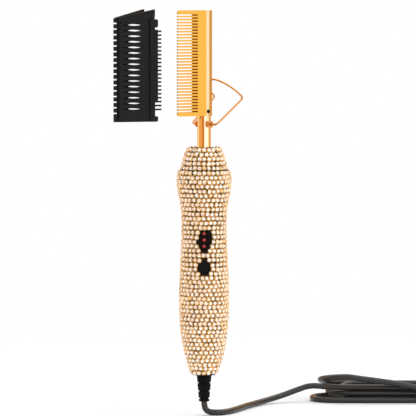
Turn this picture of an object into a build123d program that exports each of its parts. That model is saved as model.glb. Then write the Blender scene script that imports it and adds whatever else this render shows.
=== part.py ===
"""Hot comb: a heated metal pressing comb on a crystal-covered handle.

The handle stands along Z with its controls facing -Y. The origin is on the handle's axis,
in the middle of the grip. The comb head is turned about Z: in its own directions, S points
to its rounded spine, away from the teeth, and N leaves its near flank. All sizes are in mm.
"""
import math
import os

from build123d import *

os.makedirs("parts", exist_ok=True)

# ---- Comb head -------------------------------------------------------------------------
HEAD_TURN = 33.0          # turn of the head about the handle's axis, degrees
COMB_BOTTOM = 93.0
COMB_LENGTH = 82.1
SPINE_R = 6.2
FLANK_ANGLE = 12.0        # slope of each flank of the wedge, degrees
BLADE_REACH = 25.0        # from the axis to the tips of the teeth
CORNER_R = 2.5
SLOT_COUNT = 33
SLOT_PITCH = 2.337
SLOT_WIDTH = 1.1
SLOT_ROOT = 8.5           # from the axis to the closed ends of the slots
SET_SCREW_R = 1.5
SET_SCREW_LIFT = 3.6      # above the comb's bottom edge
SET_SCREW_SOCKET = 1.1    # depth of its hexagon

# ---- Neck and heater -------------------------------------------------------------------
TUBE_R = 5.25
TUBE_WALL = 0.9
TUBE_BOTTOM = 44.0
TUBE_SOCKET = 12.0        # how far the tube goes up into the comb
FIT = 0.05                # radial clearance of a close fit
LOOSE = 0.3               # clearance where two pieces stand apart
PAST = 1.0                # how far a cut runs past what it cuts
HEATER_R = 3.0
HEATER_LENGTH = 58.0
HEATER_SPARE = 2.0        # empty bore above the heater
WRAP_WALL = 1.0
WRAP_OVER = 1.0           # how far the insulation stands past the heater
LEAD_R = 0.6
LEAD_X = 1.6
LEAD_OUT = 5.8
LEAD_BACK = 1.0
LEAD_STRAIGHT = 2.0       # straight run below the tube
LEAD_TAIL = 2.5           # straight run above the fuse
LEAD_BEND = 1.2
LEAD_PAD_DROP = 10.0      # from the board's top edge to the heater's pads
FUSE_R = 1.7
FUSE_LENGTH = 9.0
FUSE_EDGE = 0.5
BEAD_R = 0.9
BEAD_LENGTH = 2.4
SENSE_R = 0.28
SENSE_X = 0.45
SENSE_Y = 2.3
SENSE_OUT = 4.3
SENSE_BACK = 4.3
SENSE_DROP = 7.0          # from the tube's end to where its wires are spread
SENSE_PAD_DROP = 2.5      # from the board's top edge to the sensor's pads
SENSE_BEND = 1.0

# ---- Folding stand ---------------------------------------------------------------------
PIVOT_Z = 86.6
WIRE_R = 0.75
EYELET_SHANK_R = 1.8
EYELET_BARREL_R = 2.2
EYELET_HEAD_R = 2.7
EYELET_HEAD = 1.6
EYELET_OUT = 9.6          # from the axis to the eyelet's outer face
EYELET_RECESS_R = 1.5
EYELET_RECESS = 0.6
STAND_NECK = 17.3         # half the width where the wire leaves its pivots
STAND_HALF = 20.05        # half the width of the loop
STAND_S = 23.2            # where the loop bends towards the spine
STAND_RISE = 20.55
HOOP_RISE = 14.2
HOOP_GAP = 0.3            # between the folded loop and the spine
HOOP_R = 19.0
FOOT_BEND_R = 3.0
LOOP_BEND_R = 2.0

# ---- Handle ----------------------------------------------------------------------------
HANDLE_TOP = 67.3
STEP_Z = 51.05            # where the crystal collar meets the body
HANDLE_BOTTOM = -109.5
CRYSTAL = 1.4             # thickness of the layer of stones
ROW_PITCH = 3.57          # from one ring of stones to the next
TIGHT_PITCH = 3.26        # the same below the button
TIGHT_FROM = -28.0        # about where the closer rings start
ROW_GAP = 1.3             # between the flat tops of two rings
ROW_GAP_DEPTH = 0.85
GLUE = 0.05
WALL = 2.2
END_WALL = 3.1
COLLAR_TOP_R = 13.8
COLLAR_MID_R = 15.9
COLLAR_FOOT_R = 18.6
SHOULDER_R = 20.2
BULGE_R = 21.3
FALL_R = 18.7
WAIST_R = 17.7
BELLY_R = 19.5
HIP_R = 16.2
TAIL_R = 10.3
BULGE_Z = 39.0
FALL_Z = 24.0
WAIST_Z = 3.0
BELLY_Z = -54.0
HIP_Z = -89.0
BUSH_R = 9.4
BUSH_COLLAR_R = 11.5
BUSH_BOTTOM = 46.0
BUSH_SEAT = 52.0
BUSH_SEAT_HEIGHT = 4.0
BUSH_SEAT_REACH = 6.0     # outwards from the bush, into the shells' walls
BUSH_SCREW_R = 1.25
BUSH_SCREW_SINK = 0.4
SHELL_SCREWS_Z = (29.0, -54.0, -84.0)
BOSS_R = 3.4
POCKET_R = 2.7
POCKET_Y = 8.0
SCREW_R = 1.2
SCREW_HEAD_R = 2.3
SCREW_HEAD = 1.8
SCREW_LENGTH = 15.0
SCREW_SPARE = 0.5         # empty thread under each screw's tip
CROSS = 2.6               # span, width and depth of a cross recess
CROSS_WIDTH = 0.6
CROSS_DEPTH = 1.0

# ---- Controls --------------------------------------------------------------------------
BOARD_FRONT = 6.5         # distance of the board's front face from the axis
BOARD_THICK = 1.6
BOARD_WIDTH = 18.0
BOARD_TOP = 18.0
BOARD_BOTTOM = -46.0
BOARD_CORNER = 1.5
POST_X = 6.8
POST_INSET = 4.0
POST_R = 2.2
BOARD_SCREW_R = 0.9
BOARD_SCREW_HEAD = 1.2
BOARD_SCREW_GRIP = 4.0    # how far a screw goes into its post
WINDOW_Z = -3.6
WINDOW_WIDTH = 12.0
WINDOW_HEIGHT = 16.8
WINDOW_CORNER = 4.0
WINDOW_FACE = 16.8
WINDOW_SEAT = 11.8
WINDOW_LIP = 1.2
FLANGE = 1.0
LAMP_R = 1.45
LAMP_PITCH = 5.0
LAMP_RISE = 0.8           # of the middle lamp above the window's middle
LAMP_BASE = 9.0
LAMP_TIP = 17.1
LAMP_LEG_X = 0.9
LAMP_LEG_R = 0.25
HOLDER_WIDTH = 8.0
BUTTON_Z = -24.45
BUTTON_R = 4.5
BUTTON_FACE = 17.6
BUTTON_EDGE = 0.7
BUTTON_FLANGE = 0.7
BUTTON_FLANGE_OUT = 1.1
BUTTON_FIT = 0.1
BEZEL_R = 5.3
BEZEL_FACE = 17.2
BEZEL_SEAT = 12.9
BEZEL_LIP = 1.5
SWITCH_SIZE = 6.0
SWITCH_HEIGHT = 3.3
PLUNGER_R = 1.7
PLUNGER_OUT = 0.8
PLUNGER_IN = 1.2
PLUNGER_WELL = 2.2        # room for the plunger in the switch
CAPACITOR = (13.0, 6.0, 12.0)
CAPACITOR_EDGE = 0.8
CAPACITOR_RISE = 6.0      # above the button
TRIAC = (10.0, 4.4, 12.0)
TRIAC_RISE = 2.0          # above the window's middle

# ---- Cord ------------------------------------------------------------------------------
CORD_R = 2.35
FLOOR_Z = -141.15
RELIEF_TOP_R = 5.85
RELIEF_END_R = 4.05
RELIEF_END = -130.3
RELIEF_FLANGE_R = 6.6
RELIEF_NECK_R = 5.2
RELIEF_FLANGE = 3.0
GROOVE = 1.2
GROOVE_DEPTH = 1.0
GROOVE_Z = (-115.8, -122.3, -128.1)
CORD_TOP = -94.0          # where the sheath ends inside the handle
CORE_R = 0.9
CORE_X = 1.15
CORE_CLEAR = 0.8          # between a core and the screw bosses
CORE_STRAIGHT = 2.0
CORE_SPREAD = 4.0         # height over which the cores part
CORE_BEND = 1.2
MAINS_PAD_RISE = 10.0     # from the board's bottom edge to the mains pads
CLAMP_Z = -97.0
CLAMP_HEIGHT = 5.0
CLAMP_HALF = 8.4
CLAMP_DEPTH = 5.3
CLAMP_RIB = 3.0
CLAMP_SCREW_X = 6.0
CLAMP_SCREW_HEAD_R = 2.1
CLAMP_SCREW_HEAD = 1.4
CLAMP_SCREW_GRIP = 4.0
CORD_ON_FLOOR = FLOOR_Z + CORD_R
CORD_ROUTE = [
    (0.0, 0.0, RELIEF_END),
    (0.0, 0.0, -135.28),
    (3.24, -1.34, CORD_ON_FLOOR),
    (11.5, -4.8, CORD_ON_FLOOR),
    (19.5, -1.5, CORD_ON_FLOOR),
    (26.0, 13.5, CORD_ON_FLOOR),
    (33.0, 35.0, CORD_ON_FLOOR),
    (40.0, 55.0, -138.4),
    (49.0, 72.5, -137.0),
    (62.5, 86.5, -133.0),
    (77.0, 91.5, -127.6),
    (90.0, 91.5, -127.6),
]
HANK_LENGTH = 160.0
HANK_FRONT = 78.0
HANK_DEPTH = 50.0
HANK_HEIGHT = 16.5
HANK_CORNER = 11.0
HANK_EDGE = 5.0
TIE_AT = 118.0            # from the hank's near end to the tie
TIE_WIDTH = 9.0
TIE_THICK = 1.2
TIE_SINK = 1.5
TIE_CLEAR = 0.1
PLUG_RELIEF = 22.0
PLUG_LENGTH = 30.0
PLUG_WIDTH = 25.0
PLUG_HEIGHT = 17.0
PLUG_CORNER = 4.0
BLADE_LENGTH = 16.0
BLADE_WIDTH = 6.35
BLADE_THICK = 1.5
BLADE_SPACING = 12.7
BLADE_ROOT = 5.0

# ---- Slide-on guard --------------------------------------------------------------------
GUARD_AWAY = 52.1         # how far the guard is pulled off, towards the teeth
GUARD_CLEAR = 0.45
GUARD_WALL = 1.6
GUARD_MOUTH = 1.5
GUARD_SPARE = 10.0        # stock above the comb, which the slanted top takes off
GUARD_BOTTOM = 89.7
GUARD_TOP_LEFT = 169.3
GUARD_TOP_RIGHT = 176.1
COARSE_REACH = 30.0
COARSE_ROOT = 26.1
COARSE_TIP = 1.2
COARSE_SINK = 0.5         # how far the teeth's ridge is rooted in the wall
NOTCH_COUNT = 17
NOTCH_PITCH = 4.307
NOTCH_WIDTH = 1.1
NOTCH_TOP = 165.35
NEAR_SLIT = (-25.2, -9.0)
FAR_SLIT = (-15.5, 0.2)
SLIT_HALF = 0.75          # half the height of a slit at its middle
SLIT_DROP = 1.25          # from a notch down to the slit beside it
RIM = 0.5
RIM_LEFT = 3.6
RIM_RIGHT = 6.2
RAIL_S = 2.9
RAIL_THICK = 0.7
RAIL_TOP = 168.5
FINGER_COUNT = 21
FINGER_PITCH = 3.004
FINGER_TOP = 159.2
FINGER_WIDTH = 1.3
FINGER_THICK = 1.4
FINGER_TIP = 6.8
WEB_TIP = 4.1             # reach of the web that joins the upper fingers
WEB_FINGERS = 19
LUG_TIP = 3.8
LUG_HEIGHT = 6.3
LUG_FOOT = 4.3
LUG_R = 1.4

# ---- Derived places --------------------------------------------------------------------
SLOPE = math.radians(FLANK_ANGLE)
S_DIR = Vector(math.cos(math.radians(HEAD_TURN)), math.sin(math.radians(HEAD_TURN)), 0)
N_DIR = Vector(S_DIR.Y, -S_DIR.X, 0)
COMB_TOP = COMB_BOTTOM + COMB_LENGTH
TUBE_TOP = COMB_BOTTOM + TUBE_SOCKET
WRAP_R = HEATER_R + FIT + WRAP_WALL
HEATER_BOTTOM = TUBE_TOP + FIT
SET_SCREW_Z = COMB_BOTTOM + SET_SCREW_LIFT
CAVITY_TOP = HANDLE_TOP - END_WALL
CAVITY_BOTTOM = HANDLE_BOTTOM + END_WALL
BOARD_BACK = BOARD_FRONT - BOARD_THICK
SWITCH_FACE = BOARD_FRONT + SWITCH_HEIGHT
PLUNGER_FACE = SWITCH_FACE + PLUNGER_OUT
BUTTON_BACK = BEZEL_SEAT - FLANGE - LOOSE
FRONT = Plane(origin=(0, 0, 0), x_dir=(1, 0, 0), z_dir=(0, -1, 0))
BACK = Plane(origin=(0, 0, 0), x_dir=(-1, 0, 0), z_dir=(0, 1, 0))


def place(s, n, z):
    """A point given in the comb head's own directions."""
    return S_DIR * s + N_DIR * n + Vector(0, 0, z)


def across(z, s=0.0):
    """A level plane at a height, with its x along S."""
    return Plane(origin=place(s, 0, z), x_dir=S_DIR, z_dir=(0, 0, 1))


def beside(s=0.0, n=0.0):
    """An upright plane seen from the near flank: x along S, y up."""
    return Plane(origin=place(s, n, 0), x_dir=S_DIR, z_dir=N_DIR)


def save(piece, name):
    """Label a finished piece and write it."""
    piece.part.label = name
    export_step(piece.part, f"parts/{name}.step")


def flank(s, grow=0.0):
    """Half the wedge's thickness at a distance along S, with its faces moved outwards."""
    return (SPINE_R + grow) / math.cos(SLOPE) + s * math.tan(SLOPE)


def bend_radii(points):
    """The largest even arc at each corner of a cord's route."""
    route = [Vector(*p) for p in points]
    radii = []
    for before, corner, after in zip(route, route[1:], route[2:]):
        first, second = corner - before, after - corner
        half_turn = math.radians(first.get_angle(second)) / 2
        radii.append(0.45 * min(first.length, second.length) / math.tan(half_turn))
    return radii


# ---- Comb head: a wedge on a round spine, cut into teeth ---------------------------------
with BuildPart() as comb_head:
    with BuildSketch(across(COMB_BOTTOM)):
        Circle(SPINE_R)
        with BuildLine():
            tip = SPINE_R / math.cos(SLOPE) - BLADE_REACH * math.tan(SLOPE)
            inner = tip - BLADE_REACH
            shoulder = -SPINE_R * math.sin(SLOPE)
            Line((shoulder, -flank(shoulder)), (inner, -flank(inner)))
            ThreePointArc((inner, -flank(inner)), (-BLADE_REACH, 0), (inner, flank(inner)))
            Line((inner, flank(inner)), (shoulder, flank(shoulder)))
            Line((shoulder, flank(shoulder)), (shoulder, -flank(shoulder)))
        make_face()
    extrude(amount=COMB_LENGTH)
    with BuildSketch(beside()) as side:
        with Locations(((SPINE_R - BLADE_REACH) / 2, COMB_BOTTOM + COMB_LENGTH / 2)):
            Rectangle(SPINE_R + BLADE_REACH, COMB_LENGTH)
        fillet(side.vertices().group_by(Axis.X)[0], CORNER_R)
    extrude(amount=SPINE_R + PAST, both=True, mode=Mode.INTERSECT)
    with BuildSketch(beside()):
        slot_reach = BLADE_REACH - SLOT_ROOT + SLOT_WIDTH
        with Locations((-SLOT_ROOT - slot_reach / 2, COMB_BOTTOM + COMB_LENGTH / 2)):
            with GridLocations(1, SLOT_PITCH, 1, SLOT_COUNT):
                SlotOverall(slot_reach, SLOT_WIDTH)
    extrude(amount=SPINE_R + PAST, both=True, mode=Mode.SUBTRACT)
    with BuildSketch(across(COMB_BOTTOM)):
        Circle(TUBE_R + FIT)
    extrude(amount=TUBE_SOCKET, mode=Mode.SUBTRACT)
    with BuildSketch(across(TUBE_TOP)):
        Circle(WRAP_R + FIT)
    extrude(amount=HEATER_LENGTH + HEATER_SPARE, mode=Mode.SUBTRACT)
    with BuildSketch(Plane(origin=place(0, 0, SET_SCREW_Z), x_dir=S_DIR, z_dir=N_DIR)):
        Circle(SET_SCREW_R + FIT)
    extrude(amount=SPINE_R + PAST, mode=Mode.SUBTRACT)
save(comb_head, "comb_head")

with BuildPart() as head_set_screw:
    screw_tip = TUBE_R - TUBE_WALL - LOOSE
    with BuildSketch(Plane(origin=place(0, screw_tip, SET_SCREW_Z), x_dir=S_DIR, z_dir=N_DIR)):
        Circle(SET_SCREW_R)
    extrude(amount=SPINE_R - screw_tip)
    with BuildSketch(Plane(origin=place(0, SPINE_R, SET_SCREW_Z), x_dir=S_DIR, z_dir=N_DIR)):
        RegularPolygon(SET_SCREW_R * 0.55, 6)
    extrude(amount=-SET_SCREW_SOCKET, mode=Mode.SUBTRACT)
save(head_set_screw, "head_set_screw")


# ---- Neck tube with its cross holes ------------------------------------------------------
with BuildPart() as neck_tube:
    with BuildSketch(across(TUBE_BOTTOM)):
        Circle(TUBE_R)
        Circle(TUBE_R - TUBE_WALL, mode=Mode.SUBTRACT)
    extrude(amount=TUBE_TOP - TUBE_BOTTOM)
    with BuildSketch(Plane(origin=place(0, 0, SET_SCREW_Z), x_dir=S_DIR, z_dir=N_DIR)):
        Circle(SET_SCREW_R + FIT)
    extrude(amount=TUBE_R + PAST, mode=Mode.SUBTRACT)
    with BuildSketch(Plane(origin=place(0, 0, PIVOT_Z), x_dir=S_DIR, z_dir=N_DIR)):
        Circle(EYELET_SHANK_R + FIT)
    extrude(amount=TUBE_R + PAST, both=True, mode=Mode.SUBTRACT)
    with BuildSketch(Plane.YZ):
        with Locations((0, (BUSH_BOTTOM + BUSH_SEAT) / 2)):
            Circle(BUSH_SCREW_R + FIT)
    extrude(amount=TUBE_R + PAST, both=True, mode=Mode.SUBTRACT)
save(neck_tube, "neck_tube")


# ---- Stand: two riveted eyelets and one bent wire ----------------------------------------
with BuildPart() as pivot_eyelets:
    for side_sign in (-1, 1):
        out = N_DIR * side_sign
        start = TUBE_R - TUBE_WALL - LOOSE
        shoulder_at = TUBE_R + FIT
        for radius, low, high in (
            (EYELET_SHANK_R, start, shoulder_at),
            (EYELET_BARREL_R, shoulder_at, EYELET_OUT - EYELET_HEAD),
            (EYELET_HEAD_R, EYELET_OUT - EYELET_HEAD, EYELET_OUT),
        ):
            with BuildSketch(Plane(origin=out * low + Vector(0, 0, PIVOT_Z), z_dir=out)):
                Circle(radius)
            extrude(amount=high - low)
        with BuildSketch(Plane(origin=Vector(0, 0, PIVOT_Z), z_dir=out)):
            Circle(WIRE_R + FIT)
        extrude(amount=EYELET_OUT + PAST, mode=Mode.SUBTRACT)
        with BuildSketch(Plane(origin=out * EYELET_OUT + Vector(0, 0, PIVOT_Z), z_dir=out)):
            Circle(EYELET_RECESS_R)
        extrude(amount=-EYELET_RECESS, mode=Mode.SUBTRACT)
save(pivot_eyelets, "pivot_eyelets")

HOOP_S = SPINE_R + WIRE_R + HOOP_GAP
PIN_START = TUBE_R - TUBE_WALL + LOOSE
HALF_LOOP = [
    (0, PIN_START, 0),
    (0, STAND_NECK, 0),
    (STAND_S, STAND_HALF, STAND_RISE),
    (HOOP_S, STAND_HALF, STAND_RISE + HOOP_RISE),
]
OTHER_HALF = [(s, -n, z) for s, n, z in reversed(HALF_LOOP)]
with BuildPart() as stand_wire:
    with BuildLine() as loop:
        FilletPolyline(
            [place(s, n, PIVOT_Z + z) for s, n, z in HALF_LOOP + OTHER_HALF],
            radius=[FOOT_BEND_R, LOOP_BEND_R, HOOP_R, HOOP_R, LOOP_BEND_R, FOOT_BEND_R],
        )
    with BuildSketch(Plane(origin=loop.line @ 0, z_dir=loop.line % 0)):
        Circle(WIRE_R)
    sweep(path=loop.line, transition=Transition.RIGHT)
save(stand_wire, "stand_wire")
print("stand wire volume", stand_wire.part.volume, math.pi * WIRE_R**2 * loop.wires()[0].length)


# ---- Heater, its insulation, leads, fuse and sensor --------------------------------------
with BuildPart() as heater_core:
    with BuildSketch(Plane.XY.offset(HEATER_BOTTOM)):
        Circle(HEATER_R)
    extrude(amount=HEATER_LENGTH)
save(heater_core, "heater_core")

with BuildPart() as heater_insulation:
    with BuildSketch(Plane.XY.offset(HEATER_BOTTOM)):
        Circle(WRAP_R)
        Circle(HEATER_R + FIT, mode=Mode.SUBTRACT)
    extrude(amount=HEATER_LENGTH + WRAP_OVER)
save(heater_insulation, "heater_insulation")

LEAD_PAD_Z = BOARD_TOP - LEAD_PAD_DROP
FUSE_TOP = SHELL_SCREWS_Z[0] + FUSE_LENGTH / 2


def lead_path(side_sign):
    """The runs of one heater lead, from the heater to the back of the board."""
    x = side_sign * LEAD_OUT
    upper = [
        (side_sign * LEAD_X, 0, HEATER_BOTTOM),
        (side_sign * LEAD_X, 0, TUBE_BOTTOM - LEAD_STRAIGHT),
        (x, LEAD_BACK, FUSE_TOP + LEAD_TAIL),
        (x, LEAD_BACK, FUSE_TOP),
    ]
    lower = [
        (x, LEAD_BACK, FUSE_TOP - FUSE_LENGTH),
        (x, LEAD_BACK, LEAD_PAD_Z),
        (x, -BOARD_BACK, LEAD_PAD_Z),
    ]
    return [upper, lower] if side_sign < 0 else [upper[:3] + lower[1:]]


with BuildPart() as heater_leads:
    for side_sign in (-1, 1):
        for run in lead_path(side_sign):
            with BuildLine() as lead:
                FilletPolyline(run, radius=LEAD_BEND)
            with BuildSketch(Plane(origin=lead.line @ 0, z_dir=lead.line % 0)):
                Circle(LEAD_R)
            sweep(path=lead.line)
save(heater_leads, "heater_leads")

with BuildPart() as thermal_fuse:
    with BuildSketch(Plane(origin=(-LEAD_OUT, LEAD_BACK, FUSE_TOP - FUSE_LENGTH))):
        Circle(FUSE_R)
    extrude(amount=FUSE_LENGTH)
    chamfer(thermal_fuse.edges(), FUSE_EDGE)
save(thermal_fuse, "thermal_fuse")

with BuildPart() as thermistor:
    with BuildSketch(Plane(origin=(0, SENSE_Y, HEATER_BOTTOM - BEAD_LENGTH - LOOSE))):
        Circle(BEAD_R)
    extrude(amount=BEAD_LENGTH)
    fillet(thermistor.edges(), BEAD_R * 0.5)
    for side_sign in (-1, 1):
        with BuildLine() as sense:
            FilletPolyline(
                (side_sign * SENSE_X, SENSE_Y, HEATER_BOTTOM - BEAD_LENGTH),
                (side_sign * SENSE_X, SENSE_Y, TUBE_BOTTOM - LEAD_STRAIGHT),
                (side_sign * SENSE_OUT, SENSE_BACK, TUBE_BOTTOM - SENSE_DROP),
                (side_sign * SENSE_OUT, SENSE_BACK, BOARD_TOP - SENSE_PAD_DROP),
                (side_sign * SENSE_OUT, -BOARD_BACK, BOARD_TOP - SENSE_PAD_DROP),
                radius=SENSE_BEND,
            )
        with BuildSketch(Plane(origin=sense.line @ 0, z_dir=sense.line % 0)):
            Circle(SENSE_R)
        sweep(path=sense.line)
save(thermistor, "thermistor")


# ---- Neck bush: holds the tube in the handle ---------------------------------------------
BUSH_SCREW_Z = (BUSH_BOTTOM + BUSH_SEAT) / 2
with BuildPart() as neck_bush:
    with BuildSketch(Plane.XY.offset(BUSH_BOTTOM)):
        Circle(BUSH_COLLAR_R)
    extrude(amount=BUSH_SEAT - FIT - BUSH_BOTTOM)
    with BuildSketch(Plane.XY.offset(BUSH_BOTTOM)):
        Circle(BUSH_R)
    extrude(amount=CAVITY_TOP - FIT - BUSH_BOTTOM)
    with BuildSketch(Plane.XY.offset(BUSH_BOTTOM)):
        Circle(TUBE_R + FIT)
    extrude(amount=CAVITY_TOP - BUSH_BOTTOM, mode=Mode.SUBTRACT)
    with BuildSketch(Plane.YZ):
        with Locations((0, BUSH_SCREW_Z)):
            Circle(BUSH_SCREW_R + FIT)
    extrude(amount=BUSH_COLLAR_R + PAST, both=True, mode=Mode.SUBTRACT)
save(neck_bush, "neck_bush")

with BuildPart() as bush_screws:
    for side_sign in (-1, 1):
        with BuildSketch(Plane.YZ.offset(side_sign * (TUBE_R - TUBE_WALL))):
            with Locations((0, BUSH_SCREW_Z)):
                Circle(BUSH_SCREW_R)
        extrude(amount=side_sign * (BUSH_COLLAR_R - TUBE_R + TUBE_WALL - BUSH_SCREW_SINK))
save(bush_screws, "bush_screws")


# ---- Handle: one outline, used for the stones, the shells and their cavity ---------------
def outline_solid(inset):
    """The handle's turned shape, moved inwards by an inset."""
    collar = [
        (COLLAR_TOP_R - inset, HANDLE_TOP),
        (COLLAR_MID_R - inset, (HANDLE_TOP * 0.65 + STEP_Z * 0.35)),
        (COLLAR_FOOT_R - inset, STEP_Z),
    ]
    body = [
        (SHOULDER_R - inset, STEP_Z),
        (BULGE_R - inset, BULGE_Z),
        (FALL_R - inset, FALL_Z),
        (WAIST_R - inset, WAIST_Z),
        (BELLY_R - inset, BELLY_Z),
        (HIP_R - inset, HIP_Z),
        (TAIL_R - inset, HANDLE_BOTTOM),
    ]
    with BuildPart() as turned:
        with BuildSketch(Plane.XZ):
            with BuildLine():
                Spline(collar)
                Line(collar[-1], body[0])
                Spline(body)
                Line(body[-1], (0, HANDLE_BOTTOM))
                Line((0, HANDLE_BOTTOM), (0, HANDLE_TOP))
                Line((0, HANDLE_TOP), collar[0])
            make_face()
        revolve(axis=Axis.Z)
    return turned.part


STONES_OUT = outline_solid(0)
STONES_IN = outline_solid(CRYSTAL)
CORE_OUT = outline_solid(CRYSTAL + GLUE)
CORE_IN = outline_solid(CRYSTAL + GLUE + WALL)

with BuildPart() as shell_wall:
    add(CORE_IN)
    split(bisect_by=Plane.XY.offset(CAVITY_TOP), keep=Keep.BOTTOM)
    split(bisect_by=Plane.XY.offset(CAVITY_BOTTOM), keep=Keep.TOP)
    hollow = shell_wall.part.solid()
with BuildPart() as whole_wall:
    add(CORE_OUT)
    add(hollow, mode=Mode.SUBTRACT)
    with BuildSketch(Plane.XY.offset(BUSH_SEAT)):
        Circle(BUSH_R + BUSH_SEAT_REACH)
        Circle(BUSH_R + FIT, mode=Mode.SUBTRACT)
    extrude(amount=BUSH_SEAT_HEIGHT)
    with BuildSketch(Plane.XY.offset(CAVITY_TOP - PAST)):
        Circle(TUBE_R + LOOSE)
    extrude(amount=END_WALL + 2 * PAST, mode=Mode.SUBTRACT)
    with BuildSketch(Plane.XY.offset(HANDLE_BOTTOM - PAST)):
        Circle(RELIEF_NECK_R + FIT)
    extrude(amount=END_WALL + 2 * PAST, mode=Mode.SUBTRACT)
    add(CORE_OUT, mode=Mode.INTERSECT)


POSTS = [
    (side_sign * POST_X, z)
    for side_sign in (-1, 1)
    for z in (BOARD_TOP - POST_INSET, BOARD_BOTTOM + POST_INSET)
]
FAR = BULGE_R + 2 * PAST

with BuildPart() as handle_front_shell:
    with BuildSketch(FRONT):
        with Locations([(0, z) for z in SHELL_SCREWS_Z]):
            Circle(BOSS_R)
    extrude(amount=FAR)
    with BuildSketch(FRONT.offset(BOARD_FRONT)):
        with Locations(POSTS):
            Circle(POST_R)
    extrude(amount=FAR)
    with BuildSketch(FRONT):
        with Locations((0, CLAMP_Z)):
            Rectangle(2 * CLAMP_HALF, CLAMP_RIB)
        with Locations((-CLAMP_SCREW_X, CLAMP_Z), (CLAMP_SCREW_X, CLAMP_Z)):
            Circle(POST_R)
    extrude(amount=FAR)
    add(CORE_OUT, mode=Mode.INTERSECT)
    add(whole_wall.part)
    split(bisect_by=Plane.XZ, keep=Keep.TOP)
    with BuildSketch(FRONT):
        with Locations([(0, z) for z in SHELL_SCREWS_Z]):
            Circle(SCREW_R + FIT)
    extrude(amount=SCREW_LENGTH - POCKET_Y + SCREW_SPARE, mode=Mode.SUBTRACT)
    with BuildSketch(FRONT.offset(BOARD_FRONT)):
        with Locations(POSTS):
            Circle(BOARD_SCREW_R + FIT)
    extrude(amount=BOARD_SCREW_GRIP + SCREW_SPARE, mode=Mode.SUBTRACT)
    with BuildSketch(FRONT):
        with Locations((-CLAMP_SCREW_X, CLAMP_Z), (CLAMP_SCREW_X, CLAMP_Z)):
            Circle(SCREW_R + FIT)
    extrude(amount=CLAMP_SCREW_GRIP + SCREW_SPARE, mode=Mode.SUBTRACT)
    with BuildSketch(Plane.XY.offset(CLAMP_Z - CLAMP_HEIGHT)):
        Circle(CORD_R + FIT)
    extrude(amount=2 * CLAMP_HEIGHT, mode=Mode.SUBTRACT)
    with BuildSketch(FRONT.offset(BOARD_FRONT)):
        with Locations((0, WINDOW_Z)):
            RectangleRounded(WINDOW_WIDTH + 2 * FIT, WINDOW_HEIGHT + 2 * FIT, WINDOW_CORNER)
        with Locations((0, BUTTON_Z)):
            Circle(BEZEL_R + FIT)
    extrude(amount=FAR, mode=Mode.SUBTRACT)
save(handle_front_shell, "handle_front_shell")

with BuildPart() as handle_back_shell:
    with BuildSketch(BACK):
        with Locations([(0, z) for z in SHELL_SCREWS_Z]):
            Circle(BOSS_R)
    extrude(amount=FAR)
    add(CORE_OUT, mode=Mode.INTERSECT)
    add(whole_wall.part)
    split(bisect_by=Plane.XZ, keep=Keep.BOTTOM)
    with BuildSketch(BACK):
        with Locations([(0, z) for z in SHELL_SCREWS_Z]):
            Circle(SCREW_R + 2 * FIT)
    extrude(amount=FAR, mode=Mode.SUBTRACT)
    with BuildSketch(BACK.offset(POCKET_Y)):
        with Locations([(0, z) for z in SHELL_SCREWS_Z]):
            Circle(POCKET_R)
    extrude(amount=FAR, mode=Mode.SUBTRACT)
save(handle_back_shell, "handle_back_shell")

with BuildPart() as shell_screws:
    with BuildSketch(BACK.offset(POCKET_Y)):
        with Locations([(0, z) for z in SHELL_SCREWS_Z]):
            Circle(SCREW_HEAD_R)
    extrude(amount=SCREW_HEAD)
    with BuildSketch(BACK.offset(POCKET_Y)):
        with Locations([(0, z) for z in SHELL_SCREWS_Z]):
            Circle(SCREW_R)
    extrude(amount=-SCREW_LENGTH)
    with BuildSketch(BACK.offset(POCKET_Y + SCREW_HEAD)):
        with Locations([(0, z) for z in SHELL_SCREWS_Z]):
            Rectangle(CROSS, CROSS_WIDTH)
            Rectangle(CROSS_WIDTH, CROSS)
    extrude(amount=-CROSS_DEPTH, mode=Mode.SUBTRACT)
save(shell_screws, "shell_screws")


# ---- Stones: rings of them round the handle, with a groove between each two rings ---------
def stones_radius(z):
    """The stones' outer radius at a height."""
    return (Edge.make_line((0, 0, z), (FAR, 0, z)) & STONES_OUT).length


COLLAR_ROWS = int((HANDLE_TOP - STEP_Z) / ROW_PITCH)
BODY_ROWS = round((STEP_Z - TIGHT_FROM) / ROW_PITCH)
TIGHT_TOP = STEP_Z - BODY_ROWS * ROW_PITCH
TIGHT_ROWS = int((TIGHT_TOP - ROW_GAP - HANDLE_BOTTOM) / TIGHT_PITCH)
GROOVES_Z = [STEP_Z + row * ROW_PITCH for row in range(1, COLLAR_ROWS + 1)]
GROOVES_Z += [STEP_Z - row * ROW_PITCH for row in range(1, BODY_ROWS + 1)]
GROOVES_Z += [TIGHT_TOP - row * TIGHT_PITCH for row in range(1, TIGHT_ROWS + 1)]
GROOVES = [(stones_radius(z), z) for z in GROOVES_Z] + [(SHOULDER_R, STEP_Z)]

with BuildPart() as stone_rings:
    add(STONES_OUT)
    add(STONES_IN, mode=Mode.SUBTRACT)
    with BuildSketch(Plane.XZ):
        for radius, z in GROOVES:
            with BuildLine():
                Polyline(
                    (radius - ROW_GAP_DEPTH, z),
                    (radius + ROW_GAP_DEPTH, z - ROW_GAP),
                    (radius + ROW_GAP_DEPTH, z + ROW_GAP),
                    close=True,
                )
            make_face()
    revolve(axis=Axis.Z, mode=Mode.SUBTRACT)
print("rings of stones", len(GROOVES) + 1)

with BuildPart() as collar_crystals:
    add(stone_rings.part)
    split(bisect_by=Plane.XY.offset(STEP_Z), keep=Keep.TOP)
save(collar_crystals, "collar_crystals")

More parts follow.
